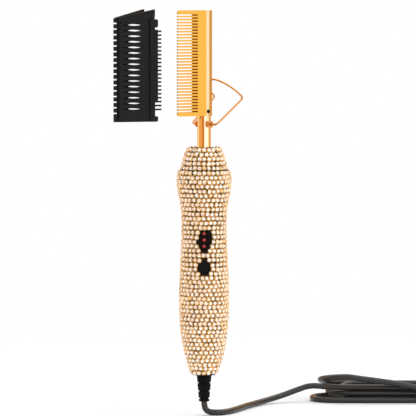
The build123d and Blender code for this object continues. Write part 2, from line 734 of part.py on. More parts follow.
with BuildPart() as handle_crystals:
    add(stone_rings.part)
    split(bisect_by=Plane.XY.offset(STEP_Z), keep=Keep.BOTTOM)
    with BuildSketch(FRONT):
        with Locations((0, WINDOW_Z)):
            RectangleRounded(WINDOW_WIDTH + 2 * LOOSE, WINDOW_HEIGHT + 2 * LOOSE, WINDOW_CORNER)
        with Locations((0, BUTTON_Z)):
            Circle(BEZEL_R + LOOSE)
    extrude(amount=FAR, mode=Mode.SUBTRACT)
    with BuildSketch(BACK):
        with Locations([(0, z) for z in SHELL_SCREWS_Z]):
            Circle(POCKET_R)
    extrude(amount=FAR, mode=Mode.SUBTRACT)
save(handle_crystals, "handle_crystals")


# ---- Controls ----------------------------------------------------------------------------
BOARD_Z = (BOARD_TOP + BOARD_BOTTOM) / 2
with BuildPart() as control_board:
    with BuildSketch(FRONT.offset(BOARD_FRONT)):
        with Locations((0, BOARD_Z)):
            RectangleRounded(BOARD_WIDTH, BOARD_TOP - BOARD_BOTTOM, BOARD_CORNER)
        with Locations(POSTS):
            Circle(BOARD_SCREW_R + FIT, mode=Mode.SUBTRACT)
    extrude(amount=-BOARD_THICK)
save(control_board, "control_board")

with BuildPart() as board_screws:
    with BuildSketch(FRONT.offset(BOARD_BACK)):
        with Locations(POSTS):
            Circle(2 * BOARD_SCREW_R)
    extrude(amount=-BOARD_SCREW_HEAD)
    with BuildSketch(FRONT.offset(BOARD_BACK)):
        with Locations(POSTS):
            Circle(BOARD_SCREW_R)
    extrude(amount=BOARD_THICK + BOARD_SCREW_GRIP)
save(board_screws, "board_screws")

with BuildPart() as tact_switch:
    with BuildSketch(FRONT.offset(BOARD_FRONT)):
        with Locations((0, BUTTON_Z)):
            Rectangle(SWITCH_SIZE, SWITCH_SIZE)
    extrude(amount=SWITCH_HEIGHT)
    with BuildSketch(FRONT.offset(SWITCH_FACE)):
        with Locations((0, BUTTON_Z)):
            Circle(PLUNGER_R + BUTTON_FIT)
    extrude(amount=-PLUNGER_WELL, mode=Mode.SUBTRACT)
save(tact_switch, "tact_switch")

with BuildPart() as switch_plunger:
    with BuildSketch(FRONT.offset(PLUNGER_FACE)):
        with Locations((0, BUTTON_Z)):
            Circle(PLUNGER_R)
    extrude(amount=-PLUNGER_OUT - PLUNGER_IN)
save(switch_plunger, "switch_plunger")

with BuildPart() as power_button:
    with BuildSketch(FRONT.offset(BUTTON_BACK)):
        with Locations((0, BUTTON_Z)):
            Circle(BUTTON_R)
    extrude(amount=BUTTON_FACE - BUTTON_BACK)
    fillet(power_button.edges().group_by(Axis.Y)[0], BUTTON_EDGE)
    with BuildSketch(FRONT.offset(BUTTON_BACK)):
        with Locations((0, BUTTON_Z)):
            Circle(BUTTON_R + BUTTON_FLANGE_OUT)
    extrude(amount=-BUTTON_FLANGE)
    with BuildSketch(FRONT.offset(PLUNGER_FACE)):
        with Locations((0, BUTTON_Z)):
            Circle(PLUNGER_R - 2 * BUTTON_FIT)
    extrude(amount=BUTTON_BACK - PLUNGER_FACE)
save(power_button, "power_button")

with BuildPart() as button_bezel:
    with BuildSketch(FRONT.offset(BEZEL_SEAT)):
        with Locations((0, BUTTON_Z)):
            Circle(BEZEL_R)
    extrude(amount=BEZEL_FACE - BEZEL_SEAT)
    with BuildSketch(FRONT.offset(BEZEL_SEAT)):
        with Locations((0, BUTTON_Z)):
            Circle(BEZEL_R + BEZEL_LIP)
    extrude(amount=-FLANGE)
    with BuildSketch(FRONT.offset(BOARD_FRONT)):
        with Locations((0, BUTTON_Z)):
            Circle(BUTTON_R + BUTTON_FIT)
    extrude(amount=FAR, mode=Mode.SUBTRACT)
save(button_bezel, "button_bezel")

LAMPS_Z = [WINDOW_Z + LAMP_RISE + step * LAMP_PITCH for step in (-1, 0, 1)]
with BuildPart() as led_window:
    with BuildSketch(FRONT.offset(WINDOW_SEAT)):
        with Locations((0, WINDOW_Z)):
            RectangleRounded(WINDOW_WIDTH, WINDOW_HEIGHT, WINDOW_CORNER - FIT)
    extrude(amount=WINDOW_FACE - WINDOW_SEAT)
    with BuildSketch(FRONT.offset(WINDOW_SEAT)):
        with Locations((0, WINDOW_Z)):
            RectangleRounded(
                WINDOW_WIDTH + 2 * WINDOW_LIP, WINDOW_HEIGHT + 2 * WINDOW_LIP, WINDOW_CORNER
            )
    extrude(amount=-FLANGE)
    with BuildSketch(FRONT):
        with Locations([(0, z) for z in LAMPS_Z]):
            Circle(LAMP_R + FIT)
    extrude(amount=FAR, mode=Mode.SUBTRACT)
save(led_window, "led_window")

with BuildPart() as indicator_lamps:
    with BuildSketch(FRONT.offset(LAMP_BASE)):
        with Locations([(0, z) for z in LAMPS_Z]):
            Circle(LAMP_R)
    extrude(amount=LAMP_TIP - LAMP_BASE)
    fillet(indicator_lamps.edges().group_by(Axis.Y)[0], LAMP_R * 0.9)
    with BuildSketch(FRONT.offset(BOARD_FRONT)):
        with Locations([(x, z) for x in (-LAMP_LEG_X, LAMP_LEG_X) for z in LAMPS_Z]):
            Circle(LAMP_LEG_R)
    extrude(amount=LAMP_BASE - BOARD_FRONT)
save(indicator_lamps, "indicator_lamps")

with BuildPart() as led_holder:
    with BuildSketch(FRONT.offset(BOARD_FRONT)):
        with Locations((0, WINDOW_Z)):
            Rectangle(HOLDER_WIDTH, WINDOW_HEIGHT - FLANGE)
        with Locations([(x, z) for x in (-LAMP_LEG_X, LAMP_LEG_X) for z in LAMPS_Z]):
            Circle(LAMP_LEG_R + FIT, mode=Mode.SUBTRACT)
    extrude(amount=LAMP_BASE - BOARD_FRONT)
save(led_holder, "led_holder")

with BuildPart() as film_capacitor:
    with BuildSketch(FRONT.offset(BOARD_BACK)):
        with Locations((0, BUTTON_Z + CAPACITOR_RISE)):
            Rectangle(CAPACITOR[0], CAPACITOR[2])
    extrude(amount=-CAPACITOR[1])
    fillet(film_capacitor.edges().filter_by(Axis.Y), CAPACITOR_EDGE)
save(film_capacitor, "film_capacitor")

with BuildPart() as power_triac:
    with BuildSketch(FRONT.offset(BOARD_BACK)):
        with Locations((0, WINDOW_Z + TRIAC_RISE)):
            Rectangle(TRIAC[0], TRIAC[2])
    extrude(amount=-TRIAC[1])
save(power_triac, "power_triac")


# ---- Cord entry --------------------------------------------------------------------------
with BuildPart() as strain_relief:
    with BuildSketch(Plane.XZ):
        with BuildLine():
            Polyline(
                (CORD_R + FIT, CAVITY_BOTTOM + FIT + RELIEF_FLANGE),
                (RELIEF_FLANGE_R, CAVITY_BOTTOM + FIT + RELIEF_FLANGE),
                (RELIEF_FLANGE_R, CAVITY_BOTTOM + FIT),
                (RELIEF_NECK_R, CAVITY_BOTTOM + FIT),
                (RELIEF_NECK_R, HANDLE_BOTTOM - FIT),
                (RELIEF_TOP_R, HANDLE_BOTTOM - FIT),
                (RELIEF_END_R, RELIEF_END),
                (CORD_R + FIT, RELIEF_END),
                close=True,
            )
        make_face()
    revolve(axis=Axis.Z)
    for groove_z in GROOVE_Z:
        with BuildSketch(Plane.XY.offset(groove_z - GROOVE / 2)):
            Circle(RELIEF_TOP_R + PAST)
            share = (HANDLE_BOTTOM - groove_z) / (HANDLE_BOTTOM - RELIEF_END)
            Circle(
                RELIEF_TOP_R + (RELIEF_END_R - RELIEF_TOP_R) * share - GROOVE_DEPTH,
                mode=Mode.SUBTRACT,
            )
        extrude(amount=GROOVE, mode=Mode.SUBTRACT)
save(strain_relief, "strain_relief")

with BuildPart() as inner_cord:
    with BuildSketch(Plane.XY.offset(RELIEF_END)):
        Circle(CORD_R)
    extrude(amount=CORD_TOP - RELIEF_END)
save(inner_cord, "inner_cord")

with BuildPart() as cord_clamp:
    with BuildSketch(BACK.offset(FIT)):
        with Locations((0, CLAMP_Z)):
            Rectangle(2 * CLAMP_HALF, CLAMP_HEIGHT)
    extrude(amount=CLAMP_DEPTH)
    with BuildSketch(Plane.XY.offset(CLAMP_Z - CLAMP_HEIGHT)):
        Circle(CORD_R + FIT)
    extrude(amount=2 * CLAMP_HEIGHT, mode=Mode.SUBTRACT)
    with BuildSketch(BACK):
        with Locations((-CLAMP_SCREW_X, CLAMP_Z), (CLAMP_SCREW_X, CLAMP_Z)):
            Circle(SCREW_R + FIT)
    extrude(amount=FAR, mode=Mode.SUBTRACT)
save(cord_clamp, "cord_clamp")

with BuildPart() as clamp_screws:
    with BuildSketch(BACK.offset(FIT + CLAMP_DEPTH)):
        with Locations((-CLAMP_SCREW_X, CLAMP_Z), (CLAMP_SCREW_X, CLAMP_Z)):
            Circle(CLAMP_SCREW_HEAD_R)
    extrude(amount=CLAMP_SCREW_HEAD)
    with BuildSketch(BACK.offset(FIT + CLAMP_DEPTH)):
        with Locations((-CLAMP_SCREW_X, CLAMP_Z), (CLAMP_SCREW_X, CLAMP_Z)):
            Circle(SCREW_R)
    extrude(amount=-CLAMP_DEPTH - CLAMP_SCREW_GRIP)
save(clamp_screws, "clamp_screws")

CORE_OUT_X = BOSS_R + CORE_R + CORE_CLEAR
CORE_TURN_Z = CORD_TOP + CORE_STRAIGHT
MAINS_PAD_Z = BOARD_BOTTOM + MAINS_PAD_RISE
with BuildPart() as mains_leads:
    for side_sign in (-1, 1):
        with BuildLine() as core:
            FilletPolyline(
                (side_sign * CORE_X, 0, CORD_TOP),
                (side_sign * CORE_X, 0, CORE_TURN_Z),
                (side_sign * CORE_OUT_X, 0, CORE_TURN_Z + CORE_SPREAD),
                (side_sign * CORE_OUT_X, 0, MAINS_PAD_Z),
                (side_sign * CORE_OUT_X, -BOARD_BACK, MAINS_PAD_Z),
                radius=CORE_BEND,
            )
        with BuildSketch(Plane(origin=core.line @ 0, z_dir=core.line % 0)):
            Circle(CORE_R)
        sweep(path=core.line)
save(mains_leads, "mains_leads")


# ---- Cord outside the handle -------------------------------------------------------------
CORD_RADII = bend_radii(CORD_ROUTE)
print("cord bend radii", [round(radius, 1) for radius in CORD_RADII])
with BuildPart() as cord_tube:
    with BuildLine() as route:
        FilletPolyline(CORD_ROUTE, radius=CORD_RADII)
    with BuildSketch(Plane(origin=route.line @ 0, z_dir=route.line % 0)):
        Circle(CORD_R)
    sweep(path=route.line)
save(cord_tube, "cord_tube")
print("cord volume", cord_tube.part.volume, math.pi * CORD_R**2 * route.wires()[0].length)

HANK_START = CORD_ROUTE[-1][0]
HANK_END = HANK_START + HANK_LENGTH
HANK_Y = HANK_FRONT + HANK_DEPTH / 2
TIE_X = HANK_START + TIE_AT


def hank_block(start, length, inset):
    """A straight stretch of the hank's outer shape, thinned all round by an inset."""
    with BuildPart() as block:
        with BuildSketch(Plane.YZ.offset(start)):
            with Locations((HANK_Y, FLOOR_Z + HANK_HEIGHT / 2)):
                RectangleRounded(HANK_DEPTH - 2 * inset, HANK_HEIGHT - 2 * inset, HANK_EDGE)
        extrude(amount=length)
    return block.part


with BuildPart() as cord_hank:
    with BuildSketch(Plane.XY.offset(FLOOR_Z)):
        with Locations((HANK_START + HANK_LENGTH / 2, HANK_Y)):
            RectangleRounded(HANK_LENGTH, HANK_DEPTH, HANK_CORNER)
    extrude(amount=HANK_HEIGHT)
    add(hank_block(TIE_X, TIE_WIDTH, -PAST), mode=Mode.SUBTRACT)
    add(hank_block(TIE_X, TIE_WIDTH, TIE_SINK))
save(cord_hank, "cord_hank")

with BuildPart() as hank_tie:
    add(hank_block(TIE_X + TIE_CLEAR, TIE_WIDTH - 2 * TIE_CLEAR, TIE_SINK - FIT - TIE_THICK))
    add(hank_block(TIE_X, TIE_WIDTH, TIE_SINK - FIT), mode=Mode.SUBTRACT)
save(hank_tie, "hank_tie")

PLUG_Z = FLOOR_Z + PLUG_HEIGHT / 2
PLUG_FACE = HANK_END + PLUG_RELIEF + PLUG_LENGTH
with BuildPart() as plug_relief:
    with BuildSketch(Plane.YZ.offset(HANK_END)):
        with Locations((HANK_Y, PLUG_Z)):
            Circle(RELIEF_END_R)
    with BuildSketch(Plane.YZ.offset(HANK_END + PLUG_RELIEF)):
        with Locations((HANK_Y, PLUG_Z)):
            Circle(RELIEF_TOP_R)
    loft()
save(plug_relief, "plug_relief")

with BuildPart() as plug_body:
    with BuildSketch(Plane.YZ.offset(HANK_END + PLUG_RELIEF)):
        with Locations((HANK_Y, PLUG_Z)):
            RectangleRounded(PLUG_WIDTH, PLUG_HEIGHT, PLUG_CORNER)
    extrude(amount=PLUG_LENGTH)
    with BuildSketch(Plane.YZ.offset(PLUG_FACE)):
        with Locations((HANK_Y, PLUG_Z)):
            with GridLocations(BLADE_SPACING, 1, 2, 1):
                Rectangle(BLADE_THICK, BLADE_WIDTH)
    extrude(amount=-BLADE_ROOT, mode=Mode.SUBTRACT)
save(plug_body, "plug_body")

with BuildPart() as plug_blades:
    with BuildSketch(Plane.YZ.offset(PLUG_FACE - BLADE_ROOT)):
        with Locations((HANK_Y, PLUG_Z)):
            with GridLocations(BLADE_SPACING, 1, 2, 1):
                Rectangle(BLADE_THICK, BLADE_WIDTH)
    extrude(amount=BLADE_ROOT + BLADE_LENGTH)
save(plug_blades, "plug_blades")


# ---- Guard: a slotted channel with coarse teeth, and a fine comb on its near edge ---------
INNER_END = -BLADE_REACH - GUARD_CLEAR
OUTER_END = INNER_END - GUARD_WALL
GUARD_IN = SPINE_R + GUARD_CLEAR
GUARD_OUT = GUARD_IN + GUARD_WALL
GUARD_TOP = COMB_TOP + GUARD_SPARE
TOP_SLOPE = (GUARD_TOP_RIGHT - GUARD_TOP_LEFT) / (COARSE_REACH + GUARD_MOUTH)


def channel(grow, end, mouth):
    """The outline of a wedge that opens into a straight mouth, around the comb's shape."""
    knee = -(SPINE_R + grow) * math.tan(SLOPE / 2)
    half = SPINE_R + grow
    return [
        (end, -flank(end, grow)),
        (knee, -half),
        (mouth, -half),
        (mouth, half),
        (knee, half),
        (end, flank(end, grow)),
    ]


def guard_prism(grow, end, mouth, bottom, top):
    """An upright prism of the channel's outline, where the guard is at rest."""
    with BuildPart() as prism:
        with BuildSketch(across(bottom, -GUARD_AWAY)):
            with BuildLine():
                Polyline(channel(grow, end, mouth), close=True)
            make_face()
        extrude(amount=top - bottom)
    return prism.part


def slanted_band(left_drop, right_drop):
    """A slab across the guard between its slanted top edge and a line below it."""
    low, high = -COARSE_REACH - RIM, GUARD_MOUTH + FINGER_TIP
    top = [GUARD_TOP_LEFT + TOP_SLOPE * (s + COARSE_REACH) for s in (low, high)]
    with BuildPart() as slab:
        with BuildSketch(beside(-GUARD_AWAY)):
            with BuildLine():
                Polyline(
                    (low, top[0]),
                    (high, top[1]),
                    (high, top[1] - right_drop),
                    (low, top[0] - left_drop),
                    close=True,
                )
            make_face()
        extrude(amount=GUARD_OUT + FINGER_THICK, both=True)
    return slab.part


RIM_GROW = GUARD_CLEAR + GUARD_WALL + RIM
with BuildPart() as guard_rim:
    add(guard_prism(RIM_GROW, OUTER_END - RIM, GUARD_MOUTH, GUARD_BOTTOM, GUARD_TOP))
    add(slanted_band(RIM_LEFT, RIM_RIGHT), mode=Mode.INTERSECT)

NOTCHES = [NOTCH_TOP - index * NOTCH_PITCH for index in range(NOTCH_COUNT)]
SLITS = [height - SLIT_DROP for height in NOTCHES[:-1]]
with BuildPart() as guard_shell:
    add(guard_prism(GUARD_CLEAR + GUARD_WALL, OUTER_END, GUARD_MOUTH, GUARD_BOTTOM, GUARD_TOP))
    with BuildSketch(across(GUARD_BOTTOM, -GUARD_AWAY)):
        with BuildLine():
            root = flank(OUTER_END, GUARD_CLEAR)
            Polyline(
                (OUTER_END + COARSE_SINK, -root),
                (OUTER_END + COARSE_SINK, root),
                (-COARSE_REACH, COARSE_TIP),
                (-COARSE_REACH, -COARSE_TIP),
                close=True,
            )
        make_face()
    extrude(amount=GUARD_TOP - GUARD_BOTTOM)
    add(slanted_band(COMB_LENGTH * 1.5, COMB_LENGTH * 1.5), mode=Mode.INTERSECT)
    add(guard_rim.part)
    add(
        guard_prism(GUARD_CLEAR, INNER_END, GUARD_MOUTH + PAST, COMB_BOTTOM - GUARD_CLEAR, GUARD_TOP),
        mode=Mode.SUBTRACT,
    )
    with BuildSketch(across(GUARD_BOTTOM, -GUARD_AWAY)):
        Circle(TUBE_R + GUARD_CLEAR)
        with Locations((GUARD_MOUTH, 0)):
            Rectangle(2 * (GUARD_MOUTH + PAST), 2 * (TUBE_R + GUARD_CLEAR))
    extrude(amount=COMB_LENGTH, mode=Mode.SUBTRACT)
    with BuildSketch(beside(-GUARD_AWAY)):
        with Locations([(-COARSE_REACH, height) for height in NOTCHES]):
            Rectangle(2 * (COARSE_REACH - COARSE_ROOT), NOTCH_WIDTH)
    extrude(amount=GUARD_OUT, both=True, mode=Mode.SUBTRACT)
    for slit, reach in ((NEAR_SLIT, GUARD_OUT + PAST), (FAR_SLIT, -GUARD_OUT - PAST)):
        with BuildSketch(beside(-GUARD_AWAY)):
            for height in SLITS:
                middle = (slit[0] + slit[1]) / 2
                with BuildLine():
                    ThreePointArc(
                        (slit[0], height), (middle, height + SLIT_HALF), (slit[1], height)
                    )
                    ThreePointArc(
                        (slit[1], height), (middle, height - SLIT_HALF), (slit[0], height)
                    )
                make_face()
        extrude(amount=reach, mode=Mode.SUBTRACT)
save(guard_shell, "guard_shell")

FINGERS = [FINGER_TOP - index * FINGER_PITCH for index in range(FINGER_COUNT)]
WEB_TOP = FINGER_TOP + FINGER_WIDTH
WEB_FOOT = FINGERS[WEB_FINGERS - 1]
with BuildPart() as guard_fine_comb:
    with BuildSketch(beside(-GUARD_AWAY, GUARD_OUT)):
        with Locations(((GUARD_MOUTH - RAIL_S) / 2, (RAIL_TOP + GUARD_BOTTOM) / 2)):
            Rectangle(GUARD_MOUTH + RAIL_S, RAIL_TOP - GUARD_BOTTOM)
        with Locations(((WEB_TIP - RAIL_S) / 2, (WEB_TOP + WEB_FOOT) / 2)):
            Rectangle(WEB_TIP + RAIL_S, WEB_TOP - WEB_FOOT)
    extrude(amount=RAIL_THICK)
    with BuildSketch(beside(-GUARD_AWAY, GUARD_OUT)):
        with Locations([((FINGER_TIP - RAIL_S) / 2, height) for height in FINGERS]):
            Rectangle(FINGER_TIP + RAIL_S, FINGER_WIDTH)
    extrude(amount=FINGER_THICK)
    with BuildSketch(beside(-GUARD_AWAY, GUARD_OUT)):
        with Locations(((LUG_TIP - RAIL_S) / 2, RAIL_TOP - LUG_HEIGHT / 2)):
            RectangleRounded(LUG_TIP + RAIL_S, LUG_HEIGHT, LUG_R)
        with Locations(((LUG_TIP - RAIL_S) / 2, GUARD_BOTTOM + LUG_FOOT / 2)):
            RectangleRounded(LUG_TIP + RAIL_S, LUG_FOOT, LUG_R)
    extrude(amount=FINGER_THICK)
save(guard_fine_comb, "guard_fine_comb")
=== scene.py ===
import math
import random

import bmesh
import bpy
from mathutils import Matrix, Vector
from mathutils.bvhtree import BVHTree


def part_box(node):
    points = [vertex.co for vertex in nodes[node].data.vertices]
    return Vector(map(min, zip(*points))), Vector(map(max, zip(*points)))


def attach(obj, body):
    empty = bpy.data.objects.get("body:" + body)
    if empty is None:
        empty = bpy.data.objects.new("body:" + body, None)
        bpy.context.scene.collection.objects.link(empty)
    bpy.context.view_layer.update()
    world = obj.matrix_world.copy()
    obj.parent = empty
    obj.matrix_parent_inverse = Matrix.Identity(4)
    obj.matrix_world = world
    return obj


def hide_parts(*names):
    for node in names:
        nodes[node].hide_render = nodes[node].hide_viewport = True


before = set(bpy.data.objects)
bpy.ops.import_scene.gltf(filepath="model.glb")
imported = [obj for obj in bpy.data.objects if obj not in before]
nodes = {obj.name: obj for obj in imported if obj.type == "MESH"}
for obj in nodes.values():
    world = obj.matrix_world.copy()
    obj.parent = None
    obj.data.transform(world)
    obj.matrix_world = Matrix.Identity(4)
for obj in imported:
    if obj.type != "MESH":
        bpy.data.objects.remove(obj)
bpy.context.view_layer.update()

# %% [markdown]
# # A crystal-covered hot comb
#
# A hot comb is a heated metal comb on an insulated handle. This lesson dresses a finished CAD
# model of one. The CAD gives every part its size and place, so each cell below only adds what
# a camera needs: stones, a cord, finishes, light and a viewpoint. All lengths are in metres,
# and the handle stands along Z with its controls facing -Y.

MM = 0.001
scene = bpy.context.scene

# %% [markdown]
# ## The camera
#
# A product picture like this one is taken with a long lens from far away, so upright parts stay
# upright. A camera could be pushed about until the view looks right. Here its distance, its tilt
# and the width of its view are written down instead, and the lens follows from them. It looks
# very slightly down, which is why the rings of stones curve a little.

# %% Camera
VIEW_DISTANCE = 2.9
VIEW_DOWN = math.radians(3.5)
VIEW_TARGET = Vector((0.00304, 0, 0.02106))
VIEW_FIELD = 0.3245          # width of the view at the handle
VIEW_END = 50                # nothing further away than this is drawn
SENSOR_WIDTH = 36.0          # the sensor's width in millimetres

camera = bpy.data.cameras.new("camera")
camera.sensor_width = SENSOR_WIDTH
camera.lens = SENSOR_WIDTH * VIEW_DISTANCE / VIEW_FIELD
camera.clip_end = VIEW_END
camera_object = bpy.data.objects.new("camera", camera)
scene.collection.objects.link(camera_object)
camera_back = Vector((0, -math.cos(VIEW_DOWN), math.sin(VIEW_DOWN)))
camera_object.location = VIEW_TARGET + camera_back * VIEW_DISTANCE
camera_object.rotation_mode = "QUATERNION"
camera_object.rotation_quaternion = (-camera_back).to_track_quat("-Z", "Y")
scene.camera = camera_object
scene.view_settings.view_transform = "Standard"
print("lens", round(camera.lens, 1), "mm")

# %% [markdown]
# ## The cord
#
# The lead is 1.56 m of round black cable. It leaves the ribbed sleeve under the handle, bends at
# once onto the floor, runs back behind the handle and climbs onto the rest of itself, which is
# folded in long loops and tied. A ring of faces could be swept along it, but a NURBS curve suits
# it better: each control point pulls the cable towards itself, so a few points give the smooth
# bends of a stiff cable under its own weight.

# %% Cord facts
CORD_R = 2.35 * MM
FLOOR_Z = -141.15 * MM
CORD_ON_FLOOR = FLOOR_Z + CORD_R
RELIEF_END = -130.3 * MM     # where the cord leaves the ribbed sleeve

# %% Route to the folded part, in millimetres
CORD_ROUTE = [
    (0.0, 0.0, RELIEF_END / MM),
    (0.0, 0.0, -135.28),
    (3.24, -1.34, CORD_ON_FLOOR / MM),
    (11.5, -4.8, CORD_ON_FLOOR / MM),
    (19.2, 3.5, CORD_ON_FLOOR / MM),
    (25.8, 19.5, CORD_ON_FLOOR / MM),
    (33.0, 40.5, CORD_ON_FLOOR / MM),
    (40.3, 58.0, CORD_ON_FLOOR / MM),
    (49.0, 73.5, -138.2),
    (62.0, 86.5, -135.9),
    (74.0, 91.0, -131.8),
    (86.0, 91.5, -127.6),
    (100.0, 88.5, -129.1),
]
print("route points", len(CORD_ROUTE))

# %% [markdown]
# The folded part is one flat bundle of long loops, four layers deep. Each loop is two straight
# runs and two half circles. A run lies in one of four lanes, two in front and two behind, so a
# half circle is never tighter than three cable diameters. The loops below are worked out one
# after another. The cable changes layer inside a half circle, or slowly along a run.

# %% Lanes and layers of the folded part, in millimetres
FRONT_OUTER, FRONT_INNER = 81.0, 86.6
BACK_INNER, BACK_OUTER = 119.2, 125.0
LAYERS = (-138.8, -133.95, -129.1, -119.8)
LIFT = 1.2                   # a run that starts just above a lower one

# lane, height at its start and end, tip of the half circle after it, and the share of that
# half circle that changes height
RUNS = [
    (FRONT_INNER, LAYERS[2], LAYERS[2], 229.0, (0.0, 1.0)),
    (BACK_INNER, LAYERS[2], LAYERS[2], 110.5, (0.2, 0.9)),
    (FRONT_INNER, LAYERS[0], LAYERS[0], 240.5, (0.0, 1.0)),
    (BACK_INNER, LAYERS[0], LAYERS[0], 87.6, (0.0, 1.0)),
    (FRONT_OUTER, LAYERS[0], LAYERS[0], 247.2, (0.0, 1.0)),
    (BACK_OUTER, LAYERS[0], LAYERS[1], 100.4, (0.0, 1.0)),
    (FRONT_INNER, LAYERS[1], LAYERS[1], 214.0, (0.7, 1.0)),
    (BACK_OUTER, LAYERS[1] + LIFT, LAYERS[2], 94.0, (0.0, 1.0)),
    (FRONT_OUTER, LAYERS[3], LAYERS[3], None, None),
]
print("runs", len(RUNS), "in", len(LAYERS), "layers")

# %% The last run sinks from the top of the bundle to the plug, in millimetres
LAST_RUN = [
    (122.0, FRONT_OUTER, -120.9),
    (138.0, FRONT_OUTER - 0.2, -122.9),
    (158.0, FRONT_OUTER - 0.4, -125.8),
    (180.0, FRONT_OUTER, -130.6),
    (203.0, FRONT_OUTER + 0.3, -134.0),
    (216.0, FRONT_OUTER + 5.0, -134.3),
    (227.0, FRONT_OUTER + 14.0, -134.2),
    (238.0, 102.4, -133.2),
    (250.0, 103.0, -132.65),
]
print("the last run ends at", LAST_RUN[-1])

# %% One half circle
BEND_STEPS = 6               # steps between control points along a half circle
BEND_GROW = 1.03             # a NURBS bend cuts its corners by this much


def half_circle(tip, lane, height, next_lane, next_height, change):
    """Control points of a half circle whose furthest point along X is tip."""
    radius = abs(next_lane - lane) / 2
    side = 1 if next_lane > lane else -1
    points = []
    for step in range(BEND_STEPS + 1):
        share = step / BEND_STEPS
        angle = math.pi * share
        rise = min(1, max(0, (share - change[0]) / (change[1] - change[0])))
        rise = rise * rise * (3 - 2 * rise)    # starts and ends gently
        points.append((
            tip - side * radius * (1 - BEND_GROW * math.sin(angle)),
            (lane + next_lane) / 2 - side * radius * math.cos(angle),
            height + (next_height - height) * rise,
        ))
    return points


# %% Control points of the whole cord
RUN_STEP = 30.0              # distance between control points on a run

points = list(CORD_ROUTE)
for (lane, low, high, tip, change), (next_lane, next_low, *_) in zip(RUNS, RUNS[1:]):
    bend = half_circle(tip, lane, high, next_lane, next_low, change)
    start, reach = points[-1][0], bend[0][0] - points[-1][0]
    steps = max(1, round(abs(reach) / RUN_STEP))
    for step in range(1, steps):
        share = step / steps
        points.append((start + reach * share, lane, low + (high - low) * share))
    points += bend
points += LAST_RUN
print("cord control points", len(points))

# %% [markdown]
# A curve is as thick as its bevel depth times the radius stored at each control point. Most
# curves keep radii of 1 and set the depth. This one does the reverse, because the box round a
# curve counts the points' radii, and radii of 1 would make that box a metre too large.

# %% Cord curve
CORD_ORDER = 3               # how many control points pull on each place
CORD_STEPS = 10              # straight pieces from one control point to the next
CORD_SIDES = 6               # a higher number gives a rounder cable
EVEN_WEIGHT = 1.0            # every control point pulls alike
BEVEL_DEPTH = 1.0            # the points hold the real radius

cord_curve = bpy.data.curves.new("mains_cord", "CURVE")
cord_curve.dimensions = "3D"
spline = cord_curve.splines.new("NURBS")
spline.points.add(len(points) - 1)
for control, point in zip(spline.points, points):
    control.co = (*(Vector(point) * MM), EVEN_WEIGHT)
    control.radius = CORD_R
spline.order_u = CORD_ORDER
spline.use_endpoint_u = True
spline.resolution_u = CORD_STEPS
cord_curve.bevel_depth = BEVEL_DEPTH
cord_curve.bevel_resolution = CORD_SIDES
cord_curve.use_fill_caps = True
mains_cord = bpy.data.objects.new("mains_cord", cord_curve)
scene.collection.objects.link(mains_cord)
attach(mains_cord, "handle")
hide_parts("cord_tube", "cord_hank")
print("length along the curve", round(spline.calc_length(), 3), "m")

# %% [markdown]
# ## Floor, background and studio walls
#
# The object stands over a white sweep. Near the object the floor is a plain diffuse white that
# takes soft shadows. Further out it fades to pure white, so no horizon shows. Metal and glass
# need more than that: gold looks like gold only when it has bright and dark things to mirror.
# So reflections meet the walls of a warm studio: a wide white wall in front on the right, a
# narrow bright strip on the left and amber walls between them, darkest behind the camera.
# Real cards and cloths round the object would do the same, but walls made of shader nodes cast
# no shadow and are easy to move.

# %% Helpers for shader nodes
def feed(tree, socket, value):
    """Link a socket into another one, or set its value."""
    if isinstance(value, bpy.types.NodeSocket):
        tree.links.new(value, socket)
    else:
        socket.default_value = value


def add(tree, kind, inputs=None, **settings):
    """Add a node with its settings and inputs."""
    made = tree.nodes.new(kind)
    for name, value in settings.items():
        setattr(made, name, value)
    for key, value in (inputs or {}).items():
        feed(tree, made.inputs[key], value)
    return made


def empty_tree(owner):
    """The node tree of a material or a world, with nothing in it."""
    owner.use_nodes = True
    owner.node_tree.nodes.clear()
    return owner.node_tree


def object_place(tree):
    """Coordinates that stay on a piece when it moves."""
    return add(tree, "ShaderNodeTexCoord").outputs["Object"]


# %% Helpers for numbers
def maths(tree, operation, *values):
    """The result of a Math node."""
    return add(tree, "ShaderNodeMath", dict(enumerate(values)), operation=operation).outputs[0]


def measured(tree, operation, *vectors):
    """The number that a Vector Math node gives."""
    made = add(tree, "ShaderNodeVectorMath", dict(enumerate(vectors)), operation=operation)
    return made.outputs["Value"]


def climb(tree, value, start, end, interpolation="LINEAR"):
    """0 before the start, 1 past the end, and the way from 0 to 1 in between."""
    inputs = {"Value": value, "From Min": start, "From Max": end}
    made = add(tree, "ShaderNodeMapRange", inputs, interpolation_type=interpolation)
    return made.outputs["Result"]


# %% Helpers for colours and shaders
MIX_SHARE, MIX_FIRST, MIX_SECOND, MIX_RESULT = 0, 6, 7, 2    # a Mix node's colour sockets
NEW_STOP = 0.5               # a new stop starts out halfway along its ramp


def mixed(tree, share, first, second):
    """A colour between two colours."""
    inputs = {MIX_SHARE: share, MIX_FIRST: first, MIX_SECOND: second}
    return add(tree, "ShaderNodeMix", inputs, data_type="RGBA").outputs[MIX_RESULT]


def ramp(tree, value, stops, interpolation="LINEAR"):
    """A colour picked along a list of (position, colour) stops."""
    made = add(tree, "ShaderNodeValToRGB", {"Fac": value})
    made.color_ramp.interpolation = interpolation
    elements = made.color_ramp.elements
    while len(elements) < len(stops):
        elements.new(NEW_STOP)
    for element, (position, colour) in zip(elements, stops):
        element.position = position
        element.color = (*colour, 1)
    return made.outputs["Color"]


def blended(tree, share, first, second):
    """A shader between two shaders."""
    return add(tree, "ShaderNodeMixShader", {0: share, 1: first, 2: second}).outputs["Shader"]


# %% Helpers for kinds of rays
def camera_rays(tree):
    """1 for rays straight from the camera, 0 for the others."""
    return add(tree, "ShaderNodeLightPath").outputs["Is Camera Ray"]


